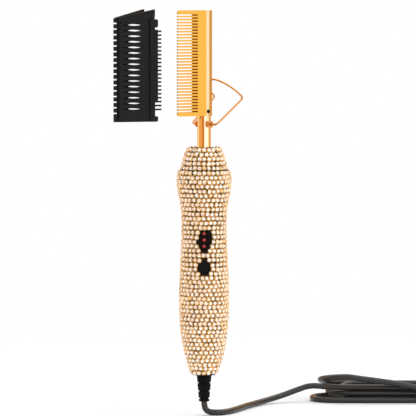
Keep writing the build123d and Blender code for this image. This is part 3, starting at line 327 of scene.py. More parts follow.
def mirror_rays(tree):
    """1 for rays from a reflection or a refraction, 0 for the others."""
    path = add(tree, "ShaderNodeLightPath").outputs
    either = maths(tree, "ADD", path["Is Glossy Ray"], path["Is Transmission Ray"])
    return maths(tree, "MINIMUM", either, 1.0)


# %% Studio walls
AMBER = (0.89, 0.42, 0.12)
DARK_AMBER = (0.64, 0.20, 0.03)      # behind the camera
BROWN_AMBER = (0.74, 0.32, 0.08)     # behind the object, to the right
LIGHT_STRIP = (1.20, 1.10, 0.95)
WHITE_WALL = (1.25, 1.20, 1.18)

# degrees round the object: 0 is at the camera, positive to its right
STUDIO_WALLS = [
    (-180, AMBER),
    (-122, AMBER),
    (-120, LIGHT_STRIP),
    (-108, LIGHT_STRIP),
    (-106, AMBER),
    (-38, AMBER),
    (-30, DARK_AMBER),
    (0, DARK_AMBER),
    (5, WHITE_WALL),
    (76, WHITE_WALL),
    (84, (0.96, 0.60, 0.20)),
    (98, (0.94, 0.54, 0.16)),
    (106, BROWN_AMBER),
    (134, BROWN_AMBER),
    (150, (0.92, 0.55, 0.20)),
    (180, AMBER),
]
MIDDLE, FULL_TURN = 0.5, 360         # the ramp has the camera's side in its middle


def studio_walls(tree, direction):
    """The colour of the studio's walls in a direction."""
    look = add(tree, "ShaderNodeSeparateXYZ", {"Vector": direction}).outputs
    angle = maths(tree, "ARCTAN2", look["X"], maths(tree, "MULTIPLY", look["Y"], -1.0))
    turn = maths(tree, "MULTIPLY_ADD", angle, 1 / math.tau, MIDDLE)
    stops = [(MIDDLE + degrees / FULL_TURN, colour) for degrees, colour in STUDIO_WALLS]
    return ramp(tree, turn, stops)


print("stops along the walls", len(STUDIO_WALLS))

# %% Floor
FLOOR_HALF = 1.4
FLOOR_CENTRE = Vector((0.13, 0.06, FLOOR_Z))

bm = bmesh.new()
bmesh.ops.create_grid(bm, x_segments=2, y_segments=2, size=FLOOR_HALF)
bmesh.ops.translate(bm, verts=bm.verts, vec=FLOOR_CENTRE)
floor_mesh = bpy.data.meshes.new("floor")
bm.to_mesh(floor_mesh)
bm.free()
floor = bpy.data.objects.new("floor", floor_mesh)
scene.collection.objects.link(floor)
print("floor", 2 * FLOOR_HALF, "m wide")

# %% The floor's finish
FLOOR_COLOUR = (0.95, 0.95, 0.95, 1)
FADE_START, FADE_END = 0.30, 0.60        # from the floor's centre, where it turns pure white
MIRROR_START, MIRROR_END = 0.28, 0.45    # from the object, where reflections meet the walls
PURE_WHITE = 1.0                         # the emission that renders as white

floor_material = bpy.data.materials.new("floor_white")
tree = empty_tree(floor_material)
place = object_place(tree)
matt = add(tree, "ShaderNodeBsdfDiffuse", {"Color": FLOOR_COLOUR}).outputs[0]
white = add(tree, "ShaderNodeEmission", {"Strength": PURE_WHITE}).outputs[0]
away = measured(tree, "DISTANCE", place, FLOOR_CENTRE)
share = climb(tree, away, FADE_START, FADE_END, "SMOOTHSTEP")
share = maths(tree, "MULTIPLY", share, camera_rays(tree))
surface = blended(tree, share, matt, white)
walls = add(tree, "ShaderNodeEmission", {"Color": studio_walls(tree, place)}).outputs[0]
share = climb(tree, measured(tree, "LENGTH", place), MIRROR_START, MIRROR_END, "SMOOTHSTEP")
share = maths(tree, "MULTIPLY", share, mirror_rays(tree))
surface = blended(tree, share, surface, walls)
add(tree, "ShaderNodeOutputMaterial", {"Surface": surface})
floor_mesh.materials.append(floor_material)
print("floor turns white", FADE_START, "to", FADE_END, "m out")

# %% [markdown]
# ## Light
#
# Light that isn't a mirror image comes evenly from all round, which keeps colours close to how
# they are written. A tall soft box to the right, a weaker one to the left and one above and
# behind give it a direction. Small lamps would be simpler, but each would leave a hard shadow
# and a hot spot on every stone. The boxes stay out of reflections, which meet the walls instead.

# %% World: white for the camera, studio walls for reflections, even light for the rest
AMBIENT = 0.62
EVEN_LIGHT = (AMBIENT, AMBIENT, AMBIENT, 1)
BACKGROUND = (1.0, 1.0, 1.0, 1)
SKY = (1.60, 1.60, 1.60, 1)
SKY_START, SKY_END = 0.35, 0.60      # from walls to bright ceiling: 0 is level, 1 straight up

world = bpy.data.worlds.new("studio")
scene.world = world
tree = empty_tree(world)
direction = add(tree, "ShaderNodeTexCoord").outputs["Generated"]
up = add(tree, "ShaderNodeSeparateXYZ", {"Vector": direction}).outputs["Z"]
high = climb(tree, up, SKY_START, SKY_END, "SMOOTHSTEP")
room = mixed(tree, high, studio_walls(tree, direction), SKY)
light = mixed(tree, mirror_rays(tree), EVEN_LIGHT, room)
light = mixed(tree, camera_rays(tree), light, BACKGROUND)
background = add(tree, "ShaderNodeBackground", {"Color": light})
add(tree, "ShaderNodeOutputWorld", {"Surface": background.outputs[0]})
print("even light", AMBIENT)

# %% Soft boxes
# name, place, what it points at, width, height and power in watts
SOFT_BOXES = [
    ("soft_box_right", (1.40, -0.78, 0.44), (0, 0, 0.30), 0.95, 1.10, 15.0),
    ("soft_box_left", (-1.55, -0.95, 0.50), (0, 0, 0.10), 1.10, 1.10, 10.0),
    ("soft_box_above", (0.10, 1.10, 1.50), (0.10, 0, -0.10), 1.20, 1.20, 15.0),
]

for name, stand, aim, width, height, power in SOFT_BOXES:
    lamp = bpy.data.lights.new(name, "AREA")
    lamp.shape = "RECTANGLE"
    lamp.size = width
    lamp.size_y = height
    lamp.energy = power
    soft_box = bpy.data.objects.new(name, lamp)
    soft_box.location = stand
    soft_box.rotation_mode = "QUATERNION"
    soft_box.rotation_quaternion = (Vector(aim) - Vector(stand)).to_track_quat("-Z", "Y")
    soft_box.visible_camera = False
    soft_box.visible_glossy = False
    scene.collection.objects.link(soft_box)
    print(name, power, "W")

# %% [markdown]
# ## Stones
#
# The handle is covered by flat-backed glass stones, each about 3.5 mm across: a girdle, a ring
# of sloping crown facets and a flat table with a small facet in the middle. Below the girdle
# the back spreads a little, as foil and glue do, and closes the gaps. The stones are glued in
# rings. There are about 1,500, so one low template is built and copied, and each copy gets its
# own turn, tilt and shade. Instances would be lighter still, but copies joined into one mesh can
# carry a number on each facet, which their finish reads later.

# %% One stone
STONE_SIDES = 10
STONE_R = 1.72 * MM
STONE_BACK_R = 1.95 * MM
GIRDLE_HEIGHT = 0.26 * MM
TABLE_HEIGHT = 1.02 * MM
TABLE_R = 1.16 * MM
CENTRE_INSET = 0.70 * MM
CENTRE_RISE = 0.08 * MM
ON_AXIS = 0.08 * MM          # a facet whose middle is this near the axis is the centre one
CENTRE, TABLE, CROWN, BACK = 0.0, 1.0, 2.0, 3.0      # kinds of facet


def facet_kind(face):
    """Which kind of facet a face of the template is."""
    middle = face.calc_center_median()
    if middle.z < GIRDLE_HEIGHT:
        return BACK
    if middle.z < TABLE_HEIGHT:
        return CROWN
    return TABLE if middle.xy.length > ON_AXIS else CENTRE


def stone_template():
    """A flat-backed stone that stands on z = 0, with the kind of each facet stored on it."""
    bm = bmesh.new()
    bmesh.ops.create_cone(
        bm, cap_ends=True, segments=STONE_SIDES,
        radius1=STONE_BACK_R, radius2=TABLE_R, depth=TABLE_HEIGHT,
    )
    bmesh.ops.translate(bm, verts=bm.verts, vec=(0, 0, TABLE_HEIGHT / 2))
    everything = bm.verts[:] + bm.edges[:] + bm.faces[:]
    girdle = bmesh.ops.bisect_plane(
        bm, geom=everything, plane_co=(0, 0, GIRDLE_HEIGHT), plane_no=(0, 0, 1)
    )
    for item in girdle["geom_cut"]:
        if isinstance(item, bmesh.types.BMVert):
            item.co.xy = item.co.xy.normalized() * STONE_R
    top = max(bm.faces, key=lambda face: face.calc_center_median().z)
    bmesh.ops.inset_region(bm, faces=[top], thickness=CENTRE_INSET, depth=CENTRE_RISE)
    kind = bm.faces.layers.float.new("facet")
    for face in bm.faces:
        face[kind] = facet_kind(face)
    mesh = bpy.data.meshes.new("stone_template")
    bm.to_mesh(mesh)
    bm.free()
    return mesh


template = stone_template()
print("facets per stone", len(template.polygons))

# %% [markdown]
# The stones lie where the CAD says the layer of stones is: it has one ridge for each ring. The
# ridges' sizes could be written down again here, but then a change to the CAD would leave the
# stones behind. So rays cast at a ridge give its radius and slope, and how far the openings for
# the window and the button reach round the front.

# %% Finding the layer of stones
SIDE = math.pi / 2           # a quarter turn from the front, where the layer has no opening
RAY_START = 0.06             # from the handle's axis, well outside the stones

depsgraph = bpy.context.evaluated_depsgraph_get()
layers = {
    name: BVHTree.FromObject(nodes[name], depsgraph)
    for name in ("collar_crystals", "handle_crystals")
}
layer_boxes = {name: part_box(name) for name in layers}


def outward(angle):
    """The level direction at an angle from the front, positive towards +X."""
    return Vector((math.sin(angle), -math.cos(angle), 0))


def radius_at(layer, height, angle=SIDE):
    """The layer's outer radius at a height and angle, or 0 where it is open."""
    start = outward(angle) * RAY_START
    start.z = height
    hit = layers[layer].ray_cast(start, -outward(angle), RAY_START)
    return 0.0 if hit[0] is None else hit[0].xy.length


print("layers of stones", len(layers))

# %% Ridges and openings
SEAM_STEP = math.radians(0.5)
RIDGE_HALF = 0.9 * MM        # half the flat top of a ridge
RIM = 0.05 * MM              # how far inside the layer's ends the rays stay
OPEN_DEPTH = STONE_R / 4     # a place this far below the ridge counts as open


def ridge_at(layer, height):
    """The radius and the slope of the ridge at a ring's height."""
    low, high = layer_boxes[layer]
    below, above = max(height - RIDGE_HALF, low.z + RIM), min(height + RIDGE_HALF, high.z - RIM)
    start, end = radius_at(layer, below), radius_at(layer, above)
    slope = (end - start) / (above - below)
    return start + slope * (height - below), slope


def is_open(layer, height, angle):
    """Whether the layer has an opening at a height and angle."""
    return radius_at(layer, height, angle) < radius_at(layer, height) - OPEN_DEPTH


def opening_edge(layer, height, side):
    """The angle at which the layer starts beside an opening at its front."""
    angle = 0.0
    while is_open(layer, height, side * angle) and angle < SIDE:
        angle += SEAM_STEP
    return angle


# %% Rings of stones
STEP_Z = 51.05 * MM          # the step between the collar and the handle's body
ROW_PITCH, TIGHT_PITCH = 3.57 * MM, 3.26 * MM
COLLAR_ROWS, BODY_ROWS, TIGHT_ROWS = 5, 22, 25
HALF_ROW = 0.5               # a ring lies in the middle of its row
TIGHT_TOP = STEP_Z - BODY_ROWS * ROW_PITCH
COLLAR_RINGS = [STEP_Z + (row + HALF_ROW) * ROW_PITCH for row in range(COLLAR_ROWS)]
BODY_RINGS = [STEP_Z - (row + HALF_ROW) * ROW_PITCH for row in range(BODY_ROWS)]
BODY_RINGS += [TIGHT_TOP - (row + HALF_ROW) * TIGHT_PITCH for row in range(TIGHT_ROWS)]
COLLAR_PHASES = (0.0, 0.0, 0.0, 0.5, 0.0)    # how far each ring is turned, in stones
BODY_PHASES = (0.0, 0.5)
PHASE_SPREAD = 0.20
print("rings", len(COLLAR_RINGS), "on the collar and", len(BODY_RINGS), "on the body")

# %% [markdown]
# A ring that meets an opening starts at one edge of it and ends at the other. Beside the window
# and the button some stones were glued partly over the edge, so those rings start a little
# further in, and their first stones lie on the window or on the ring round the button.

# %% Stones beside the openings
WINDOW_FACE = -16.85 * MM
BUTTON_FACE = -17.70 * MM
BUTTON_ROW = 19              # from this ring down the opening is the button's
FACE_HALF = 6.6 * MM         # half the width in which stones lie on a face
# how far the first stones to the right and left of an opening lap over its edge, in
# millimetres, by ring; below 0 they keep back from it
LAPS = {
    13: (0.5, 2.4), 14: (-0.2, 1.9), 15: (0.7, 0.3), 16: (1.3, 1.8), 17: (2.9, 3.1),
    19: (0.9, 1.0), 20: (0.1, 0.2), 21: (-0.2, 0.1), 22: (0.5, 1.0),
}
NO_LAPS = (0, 0)


def laps_and_face(rings, row):
    """A ring's laps, and the face that its stones lie on where they lap over it."""
    if rings is not BODY_RINGS or row not in LAPS:
        return NO_LAPS, None
    return LAPS[row], BUTTON_FACE if row >= BUTTON_ROW else WINDOW_FACE


print("rings that lap over an edge", len(LAPS))

# %% Angles of the stones in one ring
STONE_PITCH = 3.72 * MM
STONE_SINK = 0.94 * MM       # from the layer's outer face down to the stones' backs
# from an opening's edge to the middle of the first stone
FIRST_STONE = 0.95 * STONE_R
# where a ring feels for an opening, in stone radii from its middle
FEEL_AT = (-0.7, 0, 0.7)


def ring_angles(layer, height, phase, laps):
    """Angles of the stones in one ring."""
    radius = ridge_at(layer, height)[0] - STONE_SINK / 2
    heights = [height + share * STONE_R for share in FEEL_AT]
    edges = [max(opening_edge(layer, z, side) for z in heights) for side in (1, -1)]
    if max(edges) < SEAM_STEP:
        count = int(math.tau * radius / STONE_PITCH)
        return [math.tau * (index + phase) / count for index in range(count)]
    right, left = [edge + (FIRST_STONE - lap * MM) / radius for edge, lap in zip(edges, laps)]
    arc = math.tau - left - right
    count = int(arc * radius / STONE_PITCH)
    return [right + arc * index / count for index in range(count + 1)]


# %% Place of one stone
SPREAD = 0.26 * MM
TILT = math.radians(6)
SIZE_RANGE = (0.95, 1.03)


def stone_matrix(layer, height, angle, draw, face):
    """Where one stone stands, with its own small errors."""
    radius, slope = ridge_at(layer, height)
    angle += draw.uniform(-SPREAD, SPREAD) / radius
    normal = (outward(angle) - Vector((0, 0, slope))).normalized()
    place = outward(angle) * radius + Vector((0, 0, height)) - normal * STONE_SINK
    place.z += draw.uniform(-SPREAD, SPREAD)
    if face and place.y < 0 and abs(place.x) < FACE_HALF:
        place.y = min(place.y, face)
    facing = normal.to_track_quat("Z", "Y").to_matrix().to_4x4()
    spin = Matrix.Rotation(draw.uniform(0, math.tau), 4, "Z")
    lean = Matrix.Rotation(draw.uniform(-TILT, TILT), 4, "X")
    sway = Matrix.Rotation(draw.uniform(-TILT, TILT), 4, "Y")
    size = Matrix.Scale(draw.uniform(*SIZE_RANGE) * math.hypot(1, slope), 4)
    return Matrix.Translation(place) @ facing @ lean @ sway @ spin @ size


# %% Setting the stones
def add_rings(bm, layer, rings, phases, draw):
    """Add a copy of the template for each stone and count them."""
    count = 0
    for row, height in enumerate(rings):
        laps, face = laps_and_face(rings, row)
        phase = phases[row % len(phases)] + draw.uniform(-PHASE_SPREAD, PHASE_SPREAD)
        for angle in ring_angles(layer, height, phase, laps):
            if not face and is_open(layer, height, angle):
                continue
            stone = template.copy()
            stone.transform(stone_matrix(layer, height, angle, draw, face))
            bm.from_mesh(stone)
            bpy.data.meshes.remove(stone)
            count += 1
    return count


def store(mesh, name, values):
    """Store one number on each face."""
    mesh.attributes.new(name, "FLOAT", "FACE").data.foreach_set("value", values)


def set_stones(name, layer, rings, phases, seed):
    """Cover one layer with stones and store a shade for each stone and facet."""
    draw = random.Random(seed)
    bm = bmesh.new()
    count = add_rings(bm, layer, rings, phases, draw)
    mesh = bpy.data.meshes.new(name)
    bm.to_mesh(mesh)
    bm.free()
    facets = len(template.polygons)
    shades = [draw.random() for _ in range(count)]
    store(mesh, "stone", [shade for shade in shades for _ in range(facets)])
    store(mesh, "gleam", [draw.random() for _ in range(count * facets)])
    made = bpy.data.objects.new(name, mesh)
    scene.collection.objects.link(made)
    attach(made, "handle")
    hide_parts(layer)
    print(name, count, "stones,", len(mesh.polygons), "faces")
    return made


# %% Stones on the collar and on the handle's body
collar_stones = set_stones("collar_stones", "collar_crystals", COLLAR_RINGS, COLLAR_PHASES, seed=11)
handle_stones = set_stones("handle_stones", "handle_crystals", BODY_RINGS, BODY_PHASES, seed=12)
bpy.data.meshes.remove(template)

# %% [markdown]
# ## Finishes
#
# Several effects turn up on more than one material, so each is a node group: fine grain with its
# bump, the patchy gloss that hands leave, and the straight lines of brushed metal. Images could
# carry them, but noise is never blurred close up and needs no unwrapping. A group only gives out
# masks, values and normals. The shader itself stays in each material.

# %% Helpers for node groups
FLOAT, NORMAL = "NodeSocketFloat", "NodeSocketVector"


def new_group(name, inputs, outputs):
    """An empty node group with its sockets. Gives the tree and its two end nodes."""
    made = bpy.data.node_groups.new(name, "ShaderNodeTree")
    for side, sockets in (("INPUT", inputs), ("OUTPUT", outputs)):
        for label, kind in sockets:
            made.interface.new_socket(name=label, in_out=side, socket_type=kind)
    return made, made.nodes.new("NodeGroupInput").outputs, made.nodes.new("NodeGroupOutput").inputs


def noise(tree, place, scale, detail):
    """Soft random values between 0 and 1."""
    inputs = {"Vector": place, "Scale": scale, "Detail": detail}
    return add(tree, "ShaderNodeTexNoise", inputs).outputs["Fac"]


def bumped(tree, height, distance):
    """The normal of a surface raised by a height."""
    return add(tree, "ShaderNodeBump", {"Height": height, "Distance": distance}).outputs["Normal"]


# %% Group: fine grain
GRAIN_DETAIL = 3.0

fine_grain, given, put = new_group(
    "fine_grain", [("Scale", FLOAT), ("Height", FLOAT)], [("Grain", FLOAT), ("Normal", NORMAL)]
)
grain = noise(fine_grain, object_place(fine_grain), given["Scale"], GRAIN_DETAIL)
feed(fine_grain, put["Grain"], grain)
feed(fine_grain, put["Normal"], bumped(fine_grain, grain, given["Height"]))
print(fine_grain.name, len(fine_grain.nodes), "nodes")

# %% Group: patchy gloss from handling, also used for patches of painted light in the lamps
PATCH_DETAIL = 5.0
PATCH_LOW, PATCH_HIGH = 0.35, 0.65   # noise seldom leaves this range

handling_and_glow, given, put = new_group(
    "handling_and_glow",
    [("Scale", FLOAT), ("Low", FLOAT), ("High", FLOAT)],
    [("Roughness", FLOAT), ("Patch", FLOAT)],
)
patch = noise(handling_and_glow, object_place(handling_and_glow), given["Scale"], PATCH_DETAIL)
span = add(handling_and_glow, "ShaderNodeMapRange", {
    "Value": patch, "From Min": PATCH_LOW, "From Max": PATCH_HIGH,
    "To Min": given["Low"], "To Max": given["High"],
})
feed(handling_and_glow, put["Roughness"], span.outputs["Result"])
feed(handling_and_glow, put["Patch"], patch)
print(handling_and_glow.name, len(handling_and_glow.nodes), "nodes")

# %% Group: brushed lines along Z
LINE_DETAIL = 4.0
LINE_SCALE = 1.0                     # the coordinates are stretched instead

brushing, given, put = new_group(
    "brushing",
    [("Across", FLOAT), ("Along", FLOAT), ("Height", FLOAT)],
    [("Line", FLOAT), ("Normal", NORMAL)],
)
stretch = add(brushing, "ShaderNodeCombineXYZ", {
    "X": given["Across"], "Y": given["Across"], "Z": given["Along"],
})
drawn = add(brushing, "ShaderNodeVectorMath", {
    0: object_place(brushing), 1: stretch.outputs[0],
}, operation="MULTIPLY")
line = noise(brushing, drawn.outputs["Vector"], LINE_SCALE, LINE_DETAIL)
feed(brushing, put["Line"], line)
feed(brushing, put["Normal"], bumped(brushing, line, given["Height"]))
print(brushing.name, len(brushing.nodes), "nodes")


# %% Helpers for materials
def new_material(name, **plain):
    """A material with its shader, whose sockets that don't vary are set at once."""
    made = bpy.data.materials.new(name)
    made.use_nodes = True
    shader = made.node_tree.nodes["Principled BSDF"].inputs
    for key, value in plain.items():
        shader[key.replace("_", " ")].default_value = value
    return made, made.node_tree, shader


def group(tree, which, **inputs):
    """Place a node group in a material and give its outputs."""
    made = add(tree, "ShaderNodeGroup", node_tree=which)
    for key, value in inputs.items():
        feed(tree, made.inputs[key], value)
    return made.outputs


def feed_surface(tree, shader, share, colours, roughness, normal):
    """Feed a shader what varies over the surface."""
    feed(tree, shader["Base Color"], mixed(tree, share, *((*colour, 1) for colour in colours)))
    feed(tree, shader["Roughness"], roughness)
    feed(tree, shader["Normal"], normal)


def dress(material, *names):
    """Give a material to carried-over CAD parts."""
    for name in names:
        for slot in nodes[name].material_slots:
            slot.material = material
    print(material.name, "on", ", ".join(names))


# %% [markdown]
# The comb's gold is a satin plating with faint lines up its length. Its spine has a paler gold
# that is a painted highlight, the teeth's tips are matt and the closed ends of the slots carry
# painted shade. The tube is polished, so it mirrors the studio more sharply, and the wire and its
# eyelets are redder and duller. A plain metal would do for each, but it would look new and flat,
# so lines shift the colour and handling shifts the gloss.

# %% Brushed metal
METAL_PATCHES = 60.0         # patches of gloss per metre


def metal(name, colours, roughness, lines, depth):
    """A brushed metal: lines shift its colour a little, handling shifts its gloss."""
    made, tree, shader = new_material(name, Metallic=1.0)
    low, high = roughness
    across, along = lines
    brushed = group(tree, brushing, Across=across, Along=along, Height=depth)
    worn_and_glow = group(tree, handling_and_glow, Scale=METAL_PATCHES, Low=low, High=high)
    share = maths(tree, "MULTIPLY", brushed["Line"], worn_and_glow["Patch"])
    feed_surface(tree, shader, share, colours, worn_and_glow["Roughness"], brushed["Normal"])
    return made


# %% The comb's gold
COMB_COLOURS = ((0.84, 0.46, 0.075), (0.76, 0.38, 0.055))
# painted highlight: the paler gold on the rounded spine
SPINE_HIGHLIGHT_COLOUR = (0.84, 0.68, 0.42, 1)
# painted shade: the dark brown at the closed ends of the slots
SLOT_SHADE_COLOUR = (0.16, 0.060, 0.006, 1)

comb_gold = metal(
    "gold_satin", COMB_COLOURS, roughness=(0.20, 0.27), lines=(2500.0, 60.0), depth=1e-6
)
dress(comb_gold, "comb_head")

# %% Places on the comb
HEAD_TURN = math.radians(33)
TEETH_WAY = (-math.cos(HEAD_TURN), -math.sin(HEAD_TURN), 0)
SPINE_END = 1.7 * MM         # from the axis to the flanks, towards the teeth
SPINE_BLEND = 0.4 * MM       # the spine's colour fades over twice this width
SLOT_ROOT = 8.5 * MM         # from the axis to the closed ends of the slots
SLOT_MARGIN = 0.3 * MM
TIP_MARGIN = 1.0 * MM
END_FACING, TIP_FACING = 0.8, 0.5    # how squarely a face has to look along the teeth

tree = comb_gold.node_tree
facing = add(tree, "ShaderNodeNewGeometry").outputs["Normal"]
along = measured(tree, "DOT_PRODUCT", object_place(tree), TEETH_WAY)
square = measured(tree, "DOT_PRODUCT", facing, TEETH_WAY)
# where the painted highlight covers the spine
spine_highlight = climb(tree, along, SPINE_END + SPINE_BLEND, SPINE_END - SPINE_BLEND)
# where painted shade darkens the closed ends of the slots
slot_end_shade = maths(
    tree, "MULTIPLY",
    maths(tree, "LESS_THAN", along, SLOT_ROOT + SLOT_MARGIN),
    maths(tree, "GREATER_THAN", square, END_FACING),
)
tip = maths(
    tree, "MULTIPLY",
    maths(tree, "GREATER_THAN", along, SLOT_ROOT + TIP_MARGIN),
    maths(tree, "GREATER_THAN", square, TIP_FACING),
)
print("the slots end", round(SLOT_ROOT / MM, 1), "mm from the comb's axis")

# %% Painted highlight on the spine, painted shade at the slot ends and matt tips
shader = tree.nodes["Principled BSDF"].inputs
flank = shader["Base Color"].links[0].from_socket    # the brushed gold of the flanks
colour = mixed(tree, spine_highlight, flank, SPINE_HIGHLIGHT_COLOUR)
feed(tree, shader["Base Color"], mixed(tree, slot_end_shade, colour, SLOT_SHADE_COLOUR))
feed(tree, shader["Metallic"], maths(tree, "SUBTRACT", 1.0, tip))
print(comb_gold.name, len(tree.nodes), "nodes")

# %% Other metals
# name, two colours, range of roughness, lines per metre across and along, their depth, parts
METALS = [
    ("gold_polish", ((1.0, 0.88, 0.64), (0.96, 0.80, 0.54)),
     (0.07, 0.12), (1500.0, 40.0), 3e-7, ["neck_tube"]),
    ("wire_gold", ((0.74, 0.37, 0.11), (0.62, 0.27, 0.07)),
     (0.30, 0.40), (1500.0, 1500.0), 1e-6, ["stand_wire", "pivot_eyelets"]),
    ("bright_steel", ((0.62, 0.61, 0.59), (0.42, 0.41, 0.40)),
     (0.22, 0.36), (1800.0, 1800.0), 1e-6,
     ["shell_screws", "bush_screws", "board_screws", "clamp_screws"]),
    ("black_oxide", ((0.05, 0.05, 0.055), (0.02, 0.02, 0.022)),
     (0.35, 0.5), (1800.0, 1800.0), 1e-6, ["head_set_screw"]),
    ("plug_nickel", ((0.78, 0.75, 0.68), (0.60, 0.57, 0.50)),
     (0.18, 0.30), (1500.0, 1500.0), 1e-6, ["plug_blades"]),
]

for name, colours, roughness, lines, depth, parts in METALS:
    dress(metal(name, colours, roughness, lines, depth), *parts)

# %% [markdown]
# Moulded plastic and rubber differ in how fine their grain is, how deep it is and how far
# handling has polished it, so one function makes them all. A shader's specular level says how
# much light its surface throws back before colour plays a part. These parts are so dark that
# the usual level would turn them grey, so most of them have a low one.

# %% Moulded surface
MOULDED_PATCHES = 45.0       # patches of gloss per metre
USUAL_SPECULAR = 0.5


def moulded(name, colours, roughness, grain, depth, specular=USUAL_SPECULAR):
    """A moulded surface: fine grain, and patches that handling has made shinier."""
    made, tree, shader = new_material(name, Specular_IOR_Level=specular)
    low, high = roughness
    surface = group(tree, fine_grain, Scale=grain, Height=depth)
    worn_and_glow = group(tree, handling_and_glow, Scale=MOULDED_PATCHES, Low=low, High=high)
    share = maths(tree, "MULTIPLY", surface["Grain"], worn_and_glow["Patch"])
    feed_surface(tree, shader, share, colours, worn_and_glow["Roughness"], surface["Normal"])
    return made


# %% Outer plastics and rubbers
LOW_SPECULAR, GLOSS_SPECULAR = 0.05, 0.1
# name, colour when new and when worn, range of roughness, grains per metre, their depth,
# specular level, parts
OUTER = [
    ("guard_plastic", ((0.012, 0.012, 0.012), (0.022, 0.022, 0.021)),
     (0.42, 0.58), 1600.0, 1.5e-5, LOW_SPECULAR, ["guard_shell", "guard_fine_comb"]),
    ("shell_plastic", ((0.018, 0.014, 0.008), (0.040, 0.028, 0.014)),
     (0.30, 0.45), 1200.0, 1e-5, LOW_SPECULAR,
     ["handle_front_shell", "handle_back_shell", "neck_bush", "cord_clamp", "led_holder"]),
    ("black_gloss", ((0.004, 0.004, 0.004), (0.008, 0.008, 0.008)),
     (0.06, 0.18), 300.0, 2e-6, GLOSS_SPECULAR, ["led_window", "button_bezel"]),
    ("button_rubber", ((0.006, 0.006, 0.006), (0.014, 0.014, 0.014)),
     (0.45, 0.6), 1500.0, 1.5e-5, LOW_SPECULAR, ["power_button", "switch_plunger"]),
    ("cord_rubber", ((0.012, 0.012, 0.012), (0.022, 0.022, 0.022)),
     (0.26, 0.36), 900.0, 1.2e-5, USUAL_SPECULAR, ["inner_cord", "plug_relief", "plug_body"]),
    ("relief_rubber", ((0.004, 0.004, 0.004), (0.010, 0.010, 0.010)),
     (0.4, 0.55), 1100.0, 1.2e-5, LOW_SPECULAR, ["strain_relief"]),
]

for name, colours, roughness, grain, depth, specular, parts in OUTER:
    dress(moulded(name, colours, roughness, grain, depth, specular), *parts)
cord_rubber = nodes["plug_relief"].material_slots[0].material    # the plug is moulded on the cord
cord_curve.materials.append(cord_rubber)

# %% [markdown]
# A lamp that is off is a small dome of tinted plastic: deep red in the body, with the light of
# the studio caught inside it. Clear plastic over a lit inside would cost a lot of rendering for
# three dots, so a shiny coat over two patchy reds stands in for it: the lighter red patches are
# painted light.

# %% Red lamps
LAMP_PATCHES = 900.0         # patches of red per metre
# the darker red is the body, the lighter red is painted light caught inside
LAMP_REDS = ((0.32, 0.006, 0.010, 1), (0.48, 0.014, 0.018, 1))

lamp_red, tree, shader = new_material(
    "lamp_red", Coat_Weight=0.8, Coat_Roughness=0.05, Roughness=0.25
)
# patches of painted light: where the noise is high the lighter red shows
worn_and_glow = group(tree, handling_and_glow, Scale=LAMP_PATCHES, Low=0.0, High=1.0)
feed(tree, shader["Base Color"], mixed(tree, worn_and_glow["Roughness"], *LAMP_REDS))
dress(lamp_red, "indicator_lamps")

# %% [markdown]
# The stones are glass on a champagne foil. Their tables look white with a touch of pink, the
# crown facets throw back gold, peach or brown, and the small middle facet mirrors the room.
# Real glass would need many bounces of light in each stone. So each facet is opaque and picks
# its colour by the numbers stored on it, as a stone seen from far away does: the crown facets'
# gold, peach and brown are painted reflections.

# %% Colours of the facets
# from which share of the stones or facets on each colour is used
TABLE_STOPS = [
    (0.0, (1.0, 0.98, 0.95)),
    (0.50, (1.0, 0.94, 0.88)),
    (0.70, (1.0, 0.88, 0.78)),
    (0.85, (0.99, 0.80, 0.58)),
    (0.93, (0.84, 0.56, 0.28)),
    (0.96, (1.0, 0.98, 0.96)),
]
# painted reflections: the colours that the crown facets throw back
CROWN_STOPS = [
    (0.0, (0.94, 0.60, 0.26)),
    (0.24, (0.78, 0.42, 0.13)),
    (0.50, (0.56, 0.28, 0.07)),
    (0.68, (1.0, 0.76, 0.50)),
    (0.82, (0.20, 0.10, 0.02)),
    (0.92, (1.0, 0.88, 0.76)),
]
BACK_STOPS = [
    (0.0, (0.96, 0.58, 0.20)),
    (0.50, (0.74, 0.40, 0.11)),
    (0.82, (0.12, 0.06, 0.015)),
]
CENTRE_COLOUR = (0.95, 0.88, 0.76, 1)
FOIL_COLOUR = (0.97, 0.68, 0.40, 1)
FOIL_SHARE = 0.22            # how much of the foil shows through a table at most
print("colours of stones", len(TABLE_STOPS) + len(CROWN_STOPS) + len(BACK_STOPS))

# %% The stones' finish
KIND_MARGIN = 0.5            # half the step between two kinds of facet
CROWN_METAL = 0.30
GLEAM_ROUGHNESS, LEAST_ROUGHNESS = 0.12, 0.06

crystal, tree, shader = new_material("crystal_foil", Coat_Weight=0.3, Coat_Roughness=0.03)


def stored(name):
    """A number stored on the stones' facets."""
    return add(tree, "ShaderNodeAttribute", attribute_name=name).outputs["Fac"]


def facet_is(kind):
    """1 on one kind of facet, 0 elsewhere."""
    return maths(tree, "COMPARE", stored("facet"), kind, KIND_MARGIN)


foil = maths(tree, "MULTIPLY", stored("gleam"), FOIL_SHARE)
colour = mixed(tree, foil, ramp(tree, stored("stone"), TABLE_STOPS, "CONSTANT"), FOIL_COLOUR)
crown_colour = ramp(tree, stored("gleam"), CROWN_STOPS, "CONSTANT")
back_colour = ramp(tree, stored("gleam"), BACK_STOPS, "CONSTANT")
colour = mixed(tree, facet_is(CROWN), colour, crown_colour)
colour = mixed(tree, facet_is(BACK), colour, back_colour)
colour = mixed(tree, facet_is(CENTRE), colour, CENTRE_COLOUR)
mirror = maths(tree, "MULTIPLY_ADD", facet_is(CROWN), CROWN_METAL, facet_is(CENTRE))
gloss = maths(tree, "MULTIPLY_ADD", stored("gleam"), GLEAM_ROUGHNESS, LEAST_ROUGHNESS)
feed(tree, shader["Base Color"], colour)
feed(tree, shader["Metallic"], mirror)
feed(tree, shader["Roughness"], gloss)
for stones in (collar_stones, handle_stones):
    stones.data.materials.append(crystal)
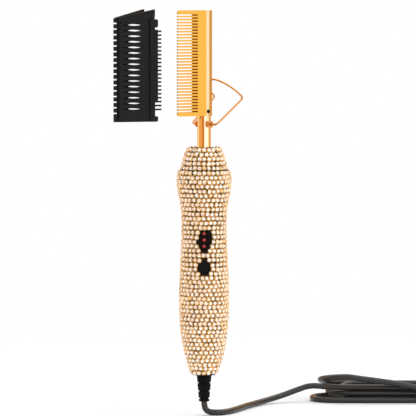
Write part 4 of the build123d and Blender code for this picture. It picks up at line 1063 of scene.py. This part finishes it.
print(crystal.name, len(tree.nodes), "nodes")

# %% [markdown]
# Inside the handle nothing shows, but the parts are real and are dressed too: a ceramic heater,
# its glass-fibre sleeve, insulated leads, a circuit board and the components on it. They differ
# in colour, grain and gloss alone, so the same function makes them. The woven tie round the
# folded cord comes last.

# %% Inner parts and the tie
# name, colour when new and when worn, range of roughness, grains per metre, their depth, parts
INNER = [
    ("heater_ceramic", ((0.80, 0.78, 0.74), (0.66, 0.63, 0.58)),
     (0.5, 0.7), 900.0, 1e-5, ["heater_core"]),
    ("glass_fibre", ((0.72, 0.68, 0.58), (0.52, 0.48, 0.40)),
     (0.7, 0.9), 2200.0, 4e-5, ["heater_insulation"]),
    ("heater_sleeve", ((0.55, 0.50, 0.44), (0.42, 0.36, 0.30)),
     (0.5, 0.7), 1800.0, 2e-5, ["heater_leads"]),
    ("mains_insulation", ((0.09, 0.16, 0.34), (0.05, 0.10, 0.24)),
     (0.35, 0.5), 900.0, 1e-5, ["mains_leads"]),
    ("board_green", ((0.02, 0.12, 0.05), (0.05, 0.20, 0.08)),
     (0.25, 0.4), 500.0, 2e-5, ["control_board"]),
    ("component_black", ((0.02, 0.02, 0.02), (0.05, 0.05, 0.05)),
     (0.4, 0.55), 1200.0, 1e-5, ["tact_switch", "power_triac"]),
    ("capacitor_red", ((0.42, 0.06, 0.03), (0.30, 0.04, 0.02)),
     (0.25, 0.4), 600.0, 1e-5, ["film_capacitor"]),
    ("fuse_shell", ((0.55, 0.45, 0.25), (0.40, 0.32, 0.18)),
     (0.3, 0.5), 900.0, 1e-5, ["thermal_fuse"]),
    ("glass_bead", ((0.35, 0.10, 0.05), (0.22, 0.06, 0.03)),
     (0.1, 0.2), 900.0, 5e-6, ["thermistor"]),
    ("tie_fabric", ((0.02, 0.02, 0.02), (0.06, 0.06, 0.06)),
     (0.8, 0.95), 2500.0, 6e-5, ["hank_tie"]),
]

for name, colours, roughness, grain, depth, parts in INNER:
    dress(moulded(name, colours, roughness, grain, depth), *parts)
